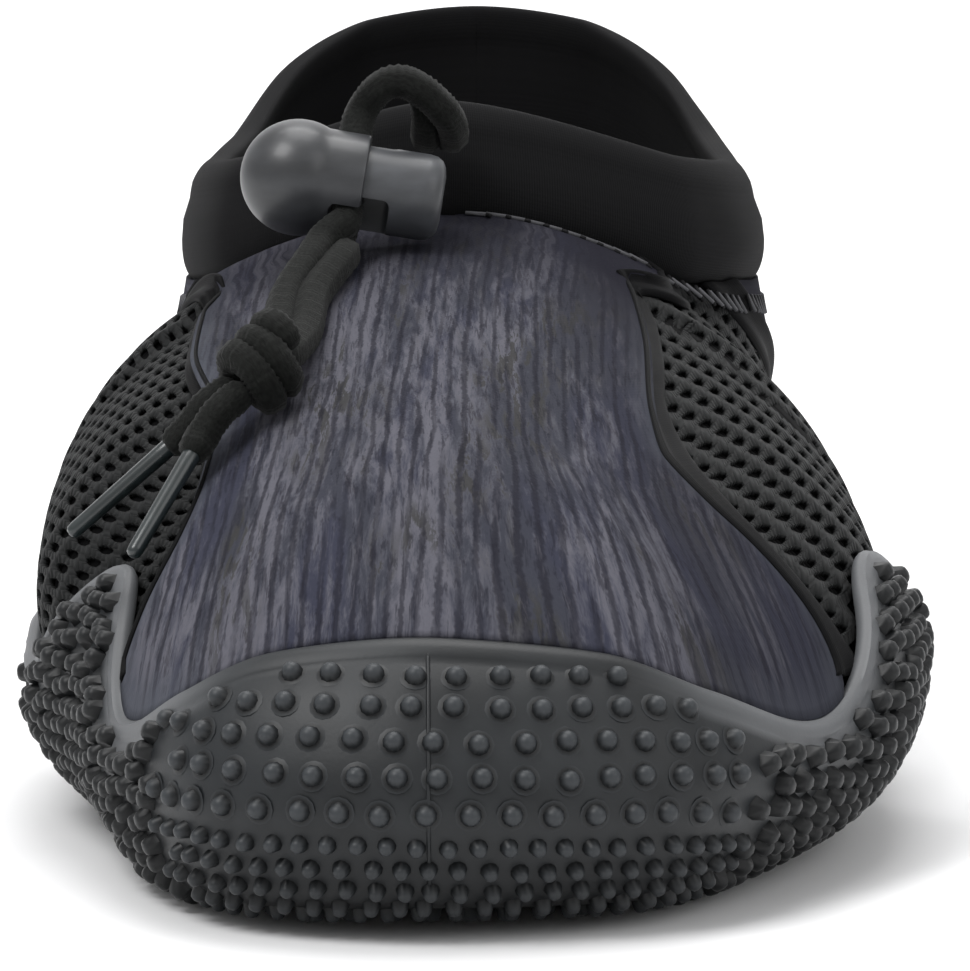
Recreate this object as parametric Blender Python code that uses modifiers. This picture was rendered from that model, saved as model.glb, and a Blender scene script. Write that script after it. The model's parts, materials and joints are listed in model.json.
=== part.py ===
"""Left water shoe: a hollow mesh upper with sewn-on vamp and heel panels, a padded collar with an elastic
drawcord and cord lock, an insole, and a rubber outsole that wraps up round the foot in a wavy edge.

The toe points to -Y, the heel to +Y, the big-toe (medial) side to -X and the little-toe side to +X.
The floor is Z = 0 and the origin lies under the middle of the outsole's length and ball width.

The upper is a surface of meridians. A ring coordinate runs round the foot, from 0 at the back of the heel
along the medial side to TOE_ROW at the toe tip, and back along the lateral side. Each meridian starts at the
feather line under the foot, swells out to the widest line and ends at the crest. The crest is the collar seam
round the ankle, and in front of the throat it is the instep ridge, where both sides meet.
"""

import math
from collections import namedtuple
from functools import lru_cache

import bmesh
import bpy
from mathutils import Matrix, Vector

MM = 0.001

# Last: the outer form of the upper, which everything else follows.
LAST_LENGTH = 262.0 * MM
BALL_WIDTH = 98.0 * MM
INSTEP_HEIGHT = 65.0 * MM
COLLAR_WIDTH = 72.0 * MM
TUCK = 12.0 * MM

# Walls and clearances.
UPPER_WALL = 2.0 * MM
PANEL_THICKNESS = 0.9 * MM
GAP = 0.3 * MM
PANEL_GAP = 0.75 * MM
PANEL_SET_BACK = 1.2 * MM
SOLE_GAP = 0.5 * MM

# Outsole.
NUB_HEIGHT = 1.8 * MM
BASE_THICKNESS = 3.2 * MM
SOLE_WALL = 2.4 * MM
SOLE_EDGE = 1.6 * MM
TOE_SPRING = 1.2 * MM
ARCH_RISE = 2.5 * MM
STUD_INSET = 1.7 * MM
STUD_FACE = 5.0 * MM
STUD_TIP_SHARE = 0.62

# Insole.
INSOLE_THICKNESS = 3.5 * MM
INSOLE_CLEARANCE = 2.0 * MM
INSOLE_LIFT = 0.4 * MM

# Collar.
COLLAR_HEIGHT = 15.3 * MM
COLLAR_HEEL_EXTRA = 2.5 * MM
COLLAR_THICKNESS = 5.0 * MM
COLLAR_OVERHANG = 2.2 * MM
COLLAR_BULGE = 1.2 * MM
COLLAR_LEAN = 2.5 * MM

# Drawcord, knot and tips.
CORD_DIAMETER = 2.8 * MM
CORD_SPACING = 1.3 * CORD_DIAMETER
KNOT_LENGTH = 9.8 * MM
KNOT_WIDTH = 9.6 * MM
TAIL_REACH = -0.5 * MM
TIP_LENGTH = 14.5 * MM
TIP_DIAMETER = 2.2 * MM

# Cord lock: a round-nosed body with a sprung button, both crossed by the cords.
LOCK_RADIUS = 7.0 * MM
LOCK_BODY_LENGTH = 15.0 * MM
LOCK_BORE_RADIUS = 5.6 * MM
LOCK_BORE_DEPTH = 10.2 * MM
BUTTON_RADIUS = 5.2 * MM
BUTTON_HEAD = 9.5 * MM
BUTTON_STEM = 6.6 * MM
BUTTON_TRAVEL = 3.0 * MM
CORD_CLEARANCE = 0.35 * MM
LOCK_EDGE_ROUND = 0.7 * MM
LOCK_HEIGHT = 9.05 * MM
LOCK_SIDE_SHIFT = 8.15 * MM

RING_COLUMNS = 88
# Bands of the upper below and above the outsole's top edge. The lower ones are shares of the way up to it, and
# the outsole's walls have the same ones, so that the two stay parallel.
WALL_BANDS = (0.0, 0.2, 0.45, 0.72, 1.0)
UPPER_BANDS = 6

TOE_ROW = 11
SAME = 1e-6
THROAT_ROW = 6
LOCK_ROW = 6.84
RING_LENGTH = 2 * TOE_ROW

# A quarter ellipse drawn as one cubic has tangents of this many radii.
QUARTER = 1.657

# Sections from the heel to the toe. station: share of the last's length from the heel to the widest point.
# medial, lateral: half widths there, as shares of half the ball width. widest_medial, widest_lateral: its
# height, a share of the instep height. tuck_medial, tuck_lateral: how far the feather line lies inside it, a
# share of TUCK. medial_full, lateral_full: how full the wall is between the widest point and the crest.
# crest_station: where the meridian ends. crest_half: half width there, a share of half the collar width.
# crest_shift: the crest's sideways shift, a share of half the ball width. crest_height: in metres. lean: the
# wall's slope at the crest in degrees, 90 upright. spine_station: the facing place on the foot bed's middle.
Section = namedtuple(
    "Section",
    "name station medial lateral widest_medial widest_lateral tuck_medial tuck_lateral medial_full lateral_full"
    " crest_station crest_half crest_shift crest_height lean spine_station",
)
TOP = INSTEP_HEIGHT
SECTIONS = (
    Section("heel", 0.0, 0.0, 0.0, 0.37, 0.37, 0.72, 0.72, 1.0, 1.0, 0.018, 0.0, 0.0, 1.1 * TOP, 84, 0.075),
    Section("heel_turn", 0.022, 0.38, 0.38, 0.37, 0.37, 0.74, 0.74, 1.0, 1.0, 0.03, 0.46, 0.0, 1.08 * TOP, 86, 0.088),
    Section("heel_side", 0.085, 0.61, 0.62, 0.38, 0.38, 0.8, 0.8, 1.0, 1.0, 0.085, 0.80, 0.0, 1.0 * TOP, 90, 0.125),
    Section("heel_seat", 0.2, 0.68, 0.7, 0.4, 0.4, 0.9, 0.9, 1.0, 1.0, 0.2, 0.96, 0.0, 0.88 * TOP, 92, 0.21),
    Section("waist", 0.36, 0.73, 0.78, 0.44, 0.4, 0.95, 0.95, 1.0, 1.0, 0.34, 1.0, -0.01, 0.85 * TOP, 82, 0.36),
    Section("instep", 0.51, 0.9, 0.91, 0.48, 0.38, 1.0, 1.0, 1.25, 1.1, 0.455, 0.79, -0.04, 0.875 * TOP, 52, 0.51),
    Section("ball_rear", 0.62, 1.03, 0.97, 0.47, 0.36, 1.0, 1.0, 1.4, 1.2, 0.495, 0.0, -0.08, 0.985 * TOP, 0, 0.62),
    Section("ball", 0.71, 1.02, 0.97, 0.41, 0.33, 1.0, 1.0, 1.4, 1.25, 0.585, 0.0, -0.11, 0.92 * TOP, 0, 0.71),
    Section("toe_side", 0.81, 0.84, 0.89, 0.28, 0.27, 0.7, 1.0, 1.2, 1.25, 0.69, 0.0, -0.12, 0.83 * TOP, 0, 0.79),
    Section("toe_turn", 0.905, 0.69, 0.66, 0.22, 0.23, 0.3, 0.8, 1.3, 1.3, 0.78, 0.0, -0.12, 0.75 * TOP, 0, 0.85),
    Section("toe_corner", 0.975, 0.50, 0.37, 0.22, 0.22, 0.35, 0.5, 1.4, 1.4, 0.84, 0.0, -0.11, 0.70 * TOP, 0, 0.88),
    Section("toe", 1.0, 0.12, -0.12, 0.22, 0.22, 0.4, 0.4, 1.4, 1.4, 0.855, 0.0, -0.11, 0.68 * TOP, 0, 0.89),
)

# Top edge of the outsole, a wave. The rows where it turns on each side, and its height there as a share of
# the instep height.
Turn = namedtuple("Turn", "name medial_row lateral_row height")
EDGE_WAVE = (
    Turn("heel back", 0.0, 0.0, 0.50),
    Turn("heel side", 1.0, 1.0, 0.48),
    Turn("heel front", 2.2, 2.2, 0.36),
    Turn("waist", 4.2, 4.2, 0.25),
    Turn("behind ball", 6.3, 5.9, 0.32),
    Turn("ball dip", 7.25, 6.7, 0.28),
    Turn("ball flap", 8.0, 7.5, 0.46),
    Turn("toe dip", 8.8, 8.8, 0.265),
    Turn("bumper side", 9.55, 9.6, 0.342),
    Turn("bumper corner", 10.1, 10.1, 0.405),
    Turn("toe", 11.0, 11.0, 0.445),
)

# Floor clearance of the outsole's underside: section row, share of TOE_SPRING.
SPRING = ((0.0, 0.25), (1.0, 0.12), (1.6, 0.0), (9.0, 0.0), (10.0, 0.45), (11.0, 1.0))
# The same for the arch: section row, share of ARCH_RISE on the medial side.
ARCH = ((0.0, 0.0), (3.3, 0.0), (4.4, 1.0), (5.6, 0.0), (11.0, 0.0))
LATERAL_ARCH_SHARE = 0.35

# Lower edge of the vamp panel, on each side: a share of the way from the collar to the toe tip, the section
# row, and the share of the meridian from the feather line to the crest. From the foot row on it follows the
# outsole.
Edge = namedtuple("Edge", "name way medial_row medial_share lateral_row lateral_share")
VAMP_EDGE = (
    Edge("collar", 0.0, 4.8, 0.95, 5.35, 0.95),
    Edge("below collar", 0.1, 5.6, 0.79, 5.85, 0.78),
    Edge("instep", 0.2, 6.3, 0.69, 6.5, 0.76),
    Edge("ball", 0.4, 7.4, 0.69, 7.7, 0.74),
    Edge("toes", 0.5, 8.1, 0.63, 8.35, 0.70),
    Edge("turn", 0.55, 8.4, 0.55, 8.5, 0.60),
    Edge("corner", 0.6, 8.5, 0.45, 8.5, 0.47),
    Edge("foot", 0.65, 8.6, 0.34, 8.55, 0.36),
    Edge("toe", 1.0, 11.0, 0.30, 11.0, 0.30),
)
VAMP_THROAT_WAY = 0.2
# Where the panel's cross lines end on the ridge, from the throat to the toe: way, and section row.
VAMP_RIDGE = ((0.2, 6.07), (0.4, 7.75), (0.5, 8.5), (0.65, 9.2), (1.0, 11.0))
# Front edge of the heel panel: share of the height from the outsole to the collar, and section row.
HEEL_PANEL_FRONT = ((0.0, 3.4), (0.5, 3.85), (1.0, 4.65))

# Zones of the underside that carry studs, as section rows.
STUD_ZONES = ((1.8, 3.3), (5.7, 9.05))

MATERIALS = {
    "rubber": ((0.035, 0.038, 0.041), 0.62, 0.0),
    "mesh": ((0.012, 0.013, 0.014), 0.85, 0.0),
    "print": ((0.085, 0.085, 0.115), 0.80, 0.0),
    "collar_knit": ((0.010, 0.010, 0.011), 0.75, 0.0),
    "foam": ((0.020, 0.020, 0.022), 0.90, 0.0),
    "cord": ((0.016, 0.018, 0.017), 0.80, 0.0),
    "lock_plastic": ((0.050, 0.052, 0.055), 0.35, 0.0),
    "tip_plastic": ((0.035, 0.045, 0.045), 0.30, 0.0),
}


def hermite(a, b, slope_a, slope_b, f):
    """The cubic from a to b with these end slopes, at share f. It works on numbers and on vectors."""
    f2, f3 = f * f, f * f * f
    return (
        a * (2 * f3 - 3 * f2 + 1)
        + slope_a * (f3 - 2 * f2 + f)
        + b * (3 * f2 - 2 * f3)
        + slope_b * (f3 - f2)
    )


def smooth_share(f):
    f = min(1.0, max(0.0, f))
    return f * f * (3 - 2 * f)


class Ring:
    """One quantity round a closed ring of rows, as a monotone cubic that never overshoots them."""

    def __init__(self, values):
        self.values = list(values)
        count = len(self.values)
        steps = [self.values[(i + 1) % count] - self.values[i] for i in range(count)]
        self.slopes = [shared_slope(steps[i - 1], steps[i]) for i in range(count)]

    def __call__(self, place):
        count = len(self.values)
        row = math.floor(place)
        i, j = row % count, (row + 1) % count
        return hermite(self.values[i], self.values[j], self.slopes[i], self.slopes[j], place - row)


class Track:
    """One quantity along a table of (place, value) rows, as a monotone cubic."""

    def __init__(self, table):
        self.places = [row[0] for row in table]
        self.values = [row[1] for row in table]
        rates = [
            (self.values[i + 1] - self.values[i]) / (self.places[i + 1] - self.places[i])
            for i in range(len(table) - 1)
        ]
        inner = [shared_slope(a, b) for a, b in zip(rates, rates[1:])]
        self.slopes = [rates[0], *inner, rates[-1]]

    def __call__(self, place):
        i = 0
        while i < len(self.places) - 2 and place > self.places[i + 1]:
            i += 1
        span = self.places[i + 1] - self.places[i]
        f = min(1.0, max(0.0, (place - self.places[i]) / span))
        a, b = self.values[i], self.values[i + 1]
        return hermite(a, b, self.slopes[i] * span, self.slopes[i + 1] * span, f)


def shared_slope(a, b):
    return 0.0 if a * b <= 0 else 2 * a * b / (a + b)


def row_of(ring):
    """The section row, 0 to TOE_ROW, of a place on the ring."""
    ring = ring % RING_LENGTH
    return ring if ring <= TOE_ROW else RING_LENGTH - ring


def side_of(ring):
    """-1 on the medial side and +1 on the lateral side."""
    return -1 if ring % RING_LENGTH <= TOE_ROW else 1


def both_sides(medial, lateral, last_row):
    """The ring of a quantity: medial rows from the heel forwards, then lateral rows back to the heel."""
    rows = SECTIONS[: last_row + 1]
    return Ring([medial(row) for row in rows] + [lateral(row) for row in reversed(rows[1:-1])])


def length_at(station):
    return (0.5 - station) * LAST_LENGTH


HALF_BALL = BALL_WIDTH / 2
HALF_COLLAR = COLLAR_WIDTH / 2


def crest_side(section, side):
    return section.crest_shift * HALF_BALL + side * section.crest_half * HALF_COLLAR


def even_ring(value, last_row=TOE_ROW):
    return both_sides(value, value, last_row)


WIDEST_X = both_sides(lambda s: -s.medial * HALF_BALL, lambda s: s.lateral * HALF_BALL, TOE_ROW)
WIDEST_Y = even_ring(lambda s: length_at(s.station))
WIDEST_Z = both_sides(lambda s: s.widest_medial * TOP, lambda s: s.widest_lateral * TOP, TOE_ROW)
TUCK_RING = both_sides(lambda s: s.tuck_medial * TUCK, lambda s: s.tuck_lateral * TUCK, TOE_ROW)
FULLNESS = both_sides(lambda s: s.medial_full, lambda s: s.lateral_full, TOE_ROW)
LEAN = even_ring(lambda s: math.radians(s.lean))
SPINE_Y = even_ring(lambda s: length_at(s.spine_station))

COLLAR_X = both_sides(lambda s: crest_side(s, -1), lambda s: crest_side(s, 1), THROAT_ROW)
COLLAR_Y = even_ring(lambda s: length_at(s.crest_station), THROAT_ROW)
COLLAR_Z = even_ring(lambda s: s.crest_height, THROAT_ROW)

RIDGE_ROWS = range(THROAT_ROW, TOE_ROW + 1)
RIDGE_X = Track([(row, SECTIONS[row].crest_shift * HALF_BALL) for row in RIDGE_ROWS])
RIDGE_Y = Track([(row, length_at(SECTIONS[row].crest_station)) for row in RIDGE_ROWS])
RIDGE_Z = Track([(row, SECTIONS[row].crest_height) for row in RIDGE_ROWS])

EDGE_MEDIAL = Track([(turn.medial_row, turn.height * TOP) for turn in EDGE_WAVE])
EDGE_LATERAL = Track([(turn.lateral_row, turn.height * TOP) for turn in EDGE_WAVE])
SPRING_LIFT = Track([(row, share * TOE_SPRING) for row, share in SPRING])
ARCH_LIFT = Track([(row, share * ARCH_RISE) for row, share in ARCH])


def edge_height(ring):
    """The height of the outsole's top edge."""
    return (EDGE_MEDIAL if side_of(ring) < 0 else EDGE_LATERAL)(row_of(ring))


def collar_seam(ring):
    """A point of the collar seam. The ring here is the collar's own, of 2 * THROAT_ROW rows."""
    return Vector((COLLAR_X(ring), COLLAR_Y(ring), COLLAR_Z(ring)))


def crest(ring):
    row = row_of(ring)
    if row >= THROAT_ROW:
        return Vector((RIDGE_X(row), RIDGE_Y(row), RIDGE_Z(row)))
    return collar_seam(row if side_of(ring) < 0 else 2 * THROAT_ROW - row)


def spine(ring):
    """The middle of the foot bed that faces this place on the ring, in plan. Both sides share it."""
    row = row_of(ring)
    level = min(row, TOE_ROW - 1)
    return Vector(((WIDEST_X(level) + WIDEST_X(RING_LENGTH - level)) / 2, SPINE_Y(row), 0))


def lift(ring, side_share=1.0):
    """How far toe spring and arch raise the underside. side_share is 0 on the spine and 1 at the edge."""
    row = row_of(ring)
    arch = 1.0 if side_of(ring) < 0 else LATERAL_ARCH_SHARE
    middle = (1.0 + LATERAL_ARCH_SHARE) / 2
    return SPRING_LIFT(row) + ARCH_LIFT(row) * (middle + (arch - middle) * side_share)


FLOOR_OF_CUP = NUB_HEIGHT + BASE_THICKNESS
WIDEST_SHARE = 0.3
# The ridge ends in a point at the toe, so its normal there is read a little below it.
RIDGE_END_SHARE = 0.98


@lru_cache(maxsize=None)
def meridian(ring):
    """The feather, widest and crest points of a meridian, and the tangents of its two cubics."""
    row = row_of(ring)
    widest = Vector((WIDEST_X(ring), WIDEST_Y(ring), WIDEST_Z(ring)))
    inward = spine(ring) - Vector((widest.x, widest.y, 0))
    inward.normalize()
    feather = widest + inward * TUCK_RING(ring)
    feather.z = FLOOR_OF_CUP + SOLE_GAP + lift(ring)
    top = crest(ring)

    over = Vector((top.x if row >= THROAT_ROW else 0.0, top.y, 0)) - Vector((widest.x, widest.y, 0))
    reach = max(over.length, HALF_COLLAR / 2)
    over.normalize()
    if row >= THROAT_ROW:
        ridge_slope = (RIDGE_Z(row + 0.01) - RIDGE_Z(row - 0.01)) / (RIDGE_Y(row + 0.01) - RIDGE_Y(row - 0.01))
        ridge_way = Vector((over.x, over.y, over.y * ridge_slope))
    else:
        ridge_way = over
    upright = LEAN(ring)
    way = ridge_way * math.cos(upright) + Vector((0, 0, 1)) * math.sin(upright)
    rise = top.z - widest.z
    full = FULLNESS(ring)
    swing = reach * math.cos(upright) + rise * math.sin(upright)
    return (
        feather,
        widest,
        top,
        -inward * TUCK_RING(ring) * QUARTER,
        Vector((0, 0, (widest.z - feather.z) * QUARTER)),
        Vector((0, 0.35 * (top.y - widest.y), rise * full)),
        way * swing * full,
    )


def last_point(ring, share):
    """A point of the upper's outer surface. share is 0 at the feather line and 1 at the crest."""
    feather, widest, top, out, up, rise, over = meridian(round(ring, 6))
    if share <= WIDEST_SHARE:
        return hermite(feather, widest, out, up, share / WIDEST_SHARE)
    return hermite(widest, top, rise, over, (share - WIDEST_SHARE) / (1 - WIDEST_SHARE))


def side_normal(ring, share):
    step = 0.004
    low, high = max(0.0, share - step), min(1.0, share + step)
    along = last_point(ring + step, share) - last_point(ring - step, share)
    upward = last_point(ring, high) - last_point(ring, low)
    return along.cross(upward).normalized()


def last_normal(ring, share):
    """The outward normal. On the ridge both sides' normals are averaged, so offsets meet there."""
    if share > 0.999 and abs(row_of(ring) - TOE_ROW) < 0.01:
        return side_normal(ring, RIDGE_END_SHARE)
    normal = side_normal(ring, share)
    if share > 0.999 and row_of(ring) >= THROAT_ROW:
        normal = (normal + side_normal(RING_LENGTH - ring, share)).normalized()
    return normal


def offset_point(ring, share, distance):
    return last_point(ring, share) + last_normal(ring, share) * distance


def share_at_height(ring, height):
    """Where a meridian reaches a height. Heights rise all the way up it."""
    low, high = 0.0, 1.0
    for _ in range(30):
        middle = (low + high) / 2
        if last_point(ring, middle).z < height:
            low = middle
        else:
            high = middle
    return low


def share_below_crest(ring, distance):
    """The place on a meridian that lies this far below its crest, measured along it."""
    top = last_point(ring, 1.0)
    share = 1.0
    while share > WIDEST_SHARE and (last_point(ring, share) - top).length < distance:
        share -= 0.004
    return share


def material(name):
    if name in bpy.data.materials:
        return bpy.data.materials[name]
    colour, roughness, metallic = MATERIALS[name]
    made = bpy.data.materials.new(name)
    made.use_nodes = True
    shader = made.node_tree.nodes["Principled BSDF"]
    shader.inputs["Base Color"].default_value = (*colour, 1)
    shader.inputs["Roughness"].default_value = roughness
    shader.inputs["Metallic"].default_value = metallic
    return made


def clear_scene():
    for obj in list(bpy.data.objects):
        bpy.data.objects.remove(obj)


def collection(name, hidden=False):
    made = bpy.data.collections.new(name)
    bpy.context.scene.collection.children.link(made)
    made.hide_render = hidden
    return made


def add_object(name, mesh, group, finish):
    obj = bpy.data.objects.new(name, mesh)
    group.objects.link(obj)
    mesh.materials.append(material(finish))
    return obj


def add_modifier(obj, kind, **settings):
    modifier = obj.modifiers.new(kind.title(), kind)
    for key, value in settings.items():
        setattr(modifier, key, value)
    return modifier


def shaped_grid(columns, bands, place):
    """A grid whose vertices are moved to place(across, up), both from 0 to 1. Points that meet are merged."""
    form = bmesh.new()
    bmesh.ops.create_grid(form, x_segments=columns, y_segments=bands, size=0.5)
    for vertex in form.verts:
        vertex.co = place(vertex.co.x + 0.5, vertex.co.y + 0.5)
    bmesh.ops.remove_doubles(form, verts=form.verts, dist=0.01 * MM)
    return form


def finish_mesh(form, name):
    mesh = bpy.data.meshes.new(name)
    form.to_mesh(mesh)
    form.free()
    mesh.shade_smooth()
    mesh.set_sharp_from_angle(angle=math.radians(40))
    return mesh


def face_outwards(form, ring, share):
    """Turns the faces of an open surface of the upper so that they point away from the foot."""
    where = last_point(ring, share)
    face = min(form.faces, key=lambda f: (f.calc_center_median() - where).length)
    if face.normal.dot(last_normal(ring, share)) < 0:
        bmesh.ops.reverse_faces(form, faces=form.faces)


def make_upper(group):
    """The bootie: one hollow shell, open at the collar and underneath."""
    wall = len(WALL_BANDS) - 1

    def place(u, t):
        ring = u * RING_LENGTH
        band = round(t * (wall + UPPER_BANDS))
        edge = sole_share(ring)
        if band <= wall:
            return last_point(ring, edge * WALL_BANDS[band])
        return last_point(ring, edge + (1 - edge) * (band - wall) / UPPER_BANDS)

    form = shaped_grid(RING_COLUMNS, wall + UPPER_BANDS, place)
    bmesh.ops.triangulate(form, faces=form.faces, quad_method="SHORT_EDGE")
    form.normal_update()
    face_outwards(form, 2.0, 0.6)
    upper = add_object("upper", finish_mesh(form, "upper"), group, "mesh")
    add_modifier(upper, "SOLIDIFY", thickness=UPPER_WALL, offset=-1, use_even_offset=True)
    return upper


def panel_top(ring):
    """Panels stop short of the collar seam, further where the wall lies flat."""
    upright = LEAN(ring) if row_of(ring) < THROAT_ROW else 0.0
    flat = max(0.0, math.cos(upright))
    return share_below_crest(ring, GAP + PANEL_SET_BACK * flat)


def make_panel(name, group, columns, bands, place, facing):
    form = shaped_grid(columns, bands, place)
    bmesh.ops.triangulate(form, faces=form.faces, quad_method="SHORT_EDGE")
    form.normal_update()
    face_outwards(form, *facing)
    panel = add_object(name, finish_mesh(form, name), group, "print")
    add_modifier(panel, "SOLIDIFY", thickness=PANEL_THICKNESS, offset=1)
    return panel


def sole_share(ring):
    return share_at_height(ring, edge_height(ring))


def above_sole(ring):
    return share_at_height(ring, edge_height(ring) + 2 * GAP)


EDGE_ROWS = {
    -1: Track([(edge.way, edge.medial_row) for edge in VAMP_EDGE]),
    1: Track([(edge.way, edge.lateral_row) for edge in VAMP_EDGE]),
}
EDGE_SHARES = {
    -1: Track([(edge.way, edge.medial_share) for edge in VAMP_EDGE]),
    1: Track([(edge.way, edge.lateral_share) for edge in VAMP_EDGE]),
}
FOOT_WAY = next(edge.way for edge in VAMP_EDGE if edge.name == "foot")
VAMP_RIDGE_ROWS = Track(VAMP_RIDGE)


def vamp_place(side, way, up):
    """Ring place and share of a point of the vamp panel: way runs from the collar to the toe, up from its edge."""
    low_row = EDGE_ROWS[side](way)
    start = EDGE_ROWS[side](0.0)
    if way < VAMP_THROAT_WAY - SAME:
        high_row = start + (VAMP_RIDGE_ROWS.values[0] - start) * way / VAMP_THROAT_WAY
    else:
        high_row = VAMP_RIDGE_ROWS(way)
    row = low_row + (high_row - low_row) * up
    ring = row if side < 0 else RING_LENGTH - row
    low_ring = low_row if side < 0 else RING_LENGTH - low_row
    low = above_sole(low_ring)
    if way < FOOT_WAY:
        low = max(low, EDGE_SHARES[side](way))
    high = 1.0
    if way < VAMP_THROAT_WAY - SAME:
        high = max(low + 0.01, panel_top(ring))
    return ring, low + (high - low) * up


def make_vamp_panel(group):
    """The printed panel over the instep and toe box. It widens at the toes down to the outsole."""

    def place(u, t):
        side, way = (-1, 2 * u) if u <= 0.5 else (1, 2 - 2 * u)
        ring, share = vamp_place(side, way, t)
        return offset_point(ring, share, PANEL_GAP)

    return make_panel("vamp_panel", group, 50, 7, place, (TOE_ROW - 2.0, 0.8))


def make_heel_panel(group):
    """The printed panel round the heel, with its front edges sloping forwards up to the collar."""
    front = Track(HEEL_PANEL_FRONT)

    def place(u, t):
        ring = (2 * u - 1) * front(t)
        low = above_sole(ring)
        return offset_point(ring, low + (panel_top(ring) - low) * t, PANEL_GAP)

    return make_panel("heel_panel", group, 34, 5, place, (0.0, 0.7))


def sole_thickness(share_of_wall):
    """The cup's wall: thick under the foot, even up the side and thin at its edge."""
    side = BASE_THICKNESS + (SOLE_WALL - BASE_THICKNESS) * smooth_share(share_of_wall / 0.4)
    return side + (SOLE_EDGE - SOLE_WALL) * smooth_share((share_of_wall - 0.8) / 0.2)


def make_outsole(group):
    """The rubber cup. Its bands run from the underside's spine out and up to the wavy edge, and back inside."""
    under, wall, bed = 3, len(WALL_BANDS) - 1, 1
    bands = under + wall + 1 + wall + bed

    def underside(ring, share, height, distance):
        """A point between the spine, at share 0, and the foot of the wall."""
        edge = offset_point(ring, 0.0, distance)
        middle = spine(ring)
        middle.z = height + lift(ring, 0.0)
        return middle.lerp(edge, share)

    def place(u, t):
        ring = u * RING_LENGTH
        band = round(t * bands)
        top = sole_share(ring)
        if band < under:
            return underside(ring, band / under, NUB_HEIGHT, SOLE_GAP + BASE_THICKNESS)
        band -= under
        if band <= wall:
            climbed = WALL_BANDS[band]
            return offset_point(ring, top * climbed, SOLE_GAP + sole_thickness(climbed))
        band -= wall + 1
        if band <= wall:
            return offset_point(ring, top * WALL_BANDS[wall - band], SOLE_GAP)
        return underside(ring, 0.0, FLOOR_OF_CUP, SOLE_GAP)

    form = shaped_grid(RING_COLUMNS, bands, place)
    bmesh.ops.recalc_face_normals(form, faces=form.faces)
    add_studs(form)
    sole = add_object("outsole", finish_mesh(form, "outsole"), group, "rubber")
    return sole


def in_stud_zone(centre):
    """Whether a face of the underside lies on flat ground under the heel or the forefoot."""
    for start, end in STUD_ZONES:
        back, front = SPINE_Y(start), SPINE_Y(end)
        if front < centre.y < back:
            return True
    return False


def add_studs(form):
    """Raises a stud on every second face of the underside's flat zones. Their tips are the shoe's ground plane."""
    form.normal_update()
    flat = [
        face
        for face in form.faces
        if face.normal.z < -0.999
        and abs(face.calc_center_median().z - NUB_HEIGHT) < 0.05 * MM
        and in_stud_zone(face.calc_center_median())
        and min(edge.calc_length() for edge in face.edges) > STUD_FACE
    ]
    flat.sort(key=lambda face: tuple(face.calc_center_median()))
    taken = set()
    chosen = []
    for face in flat:
        neighbours = {other for edge in face.edges for other in edge.link_faces}
        if not neighbours & taken:
            taken.add(face)
            chosen.append(face)
    bmesh.ops.inset_individual(form, faces=chosen, thickness=STUD_INSET, use_even_offset=True)
    tips = bmesh.ops.extrude_discrete_faces(form, faces=chosen)["faces"]
    for face in tips:
        centre = face.calc_center_median()
        for vertex in face.verts:
            vertex.co = centre + (vertex.co - centre) * STUD_TIP_SHARE
            vertex.co.z = 0.0
    bmesh.ops.triangulate(form, faces=form.faces, quad_method="SHORT_EDGE")


def make_insole(group):
    """The foam foot bed, inside the upper's turned-in lower edge."""
    columns, bands = RING_COLUMNS // 2, 4
    bed = FLOOR_OF_CUP + GAP + INSOLE_LIFT
    heights = (0.0, 0.0, INSOLE_THICKNESS / 2, INSOLE_THICKNESS, INSOLE_THICKNESS)

    def place(u, t):
        ring = u * RING_LENGTH
        band = round(t * bands)
        middle = spine(ring)
        edge = last_point(ring, 0.0)
        inward = Vector((middle.x - edge.x, middle.y - edge.y, 0)).normalized()
        edge = edge + inward * INSOLE_CLEARANCE
        middle.z = bed + lift(ring, 0.0)
        edge.z = bed + lift(ring)
        point = middle if band in (0, bands) else edge
        return point + Vector((0, 0, heights[band]))

    form = shaped_grid(columns, bands, place)
    bmesh.ops.recalc_face_normals(form, faces=form.faces)
    return add_object("insole", finish_mesh(form, "insole"), group, "foam")


def seam_outward(ring):
    """The level direction out of the shoe, square to the collar seam."""
    along = collar_seam(ring + 0.02) - collar_seam(ring - 0.02)
    out = Vector((-along.y, along.x, 0)).normalized()
    middle = Vector((0, length_at(0.25), 0))
    seam = collar_seam(ring)
    return out if out.dot(Vector((seam.x, seam.y, 0)) - middle) > 0 else -out


def collar_height(ring):
    heel_share = smooth_share(1 - row_of_collar(ring) / 3)
    return COLLAR_HEIGHT + COLLAR_HEEL_EXTRA * heel_share


def row_of_collar(ring):
    ring = ring % (2 * THROAT_ROW)
    return min(ring, 2 * THROAT_ROW - ring)


def make_collar(group):
    """The padded band round the top edge: a flat, rounded ring that stands on the seam and overhangs it."""
    columns, around = 48, 8
    squareness = 0.55

    def rounded(value):
        return math.copysign(abs(value) ** squareness, value)

    def place(u, v):
        ring = u * 2 * THROAT_ROW
        turn = 2 * math.pi * v
        height = collar_height(ring)
        up = 0.5 + 0.5 * rounded(math.sin(turn))
        across = 0.5 * COLLAR_THICKNESS * rounded(math.cos(turn))
        middle = COLLAR_OVERHANG - COLLAR_THICKNESS / 2
        bulge = COLLAR_BULGE * (1 - (2 * up - 1) ** 2)
        out = middle + across + bulge - COLLAR_LEAN * up
        over_panel = (PANEL_GAP + PANEL_THICKNESS + GAP) * smooth_share(across / (COLLAR_THICKNESS / 2))
        rise = GAP + height * up + over_panel * (1 - up)
        return collar_seam(ring) + seam_outward(ring) * out + Vector((0, 0, rise))

    form = shaped_grid(columns, around, place)
    bmesh.ops.recalc_face_normals(form, faces=form.faces)
    return add_object("collar", finish_mesh(form, "collar"), group, "collar_knit")


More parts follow.
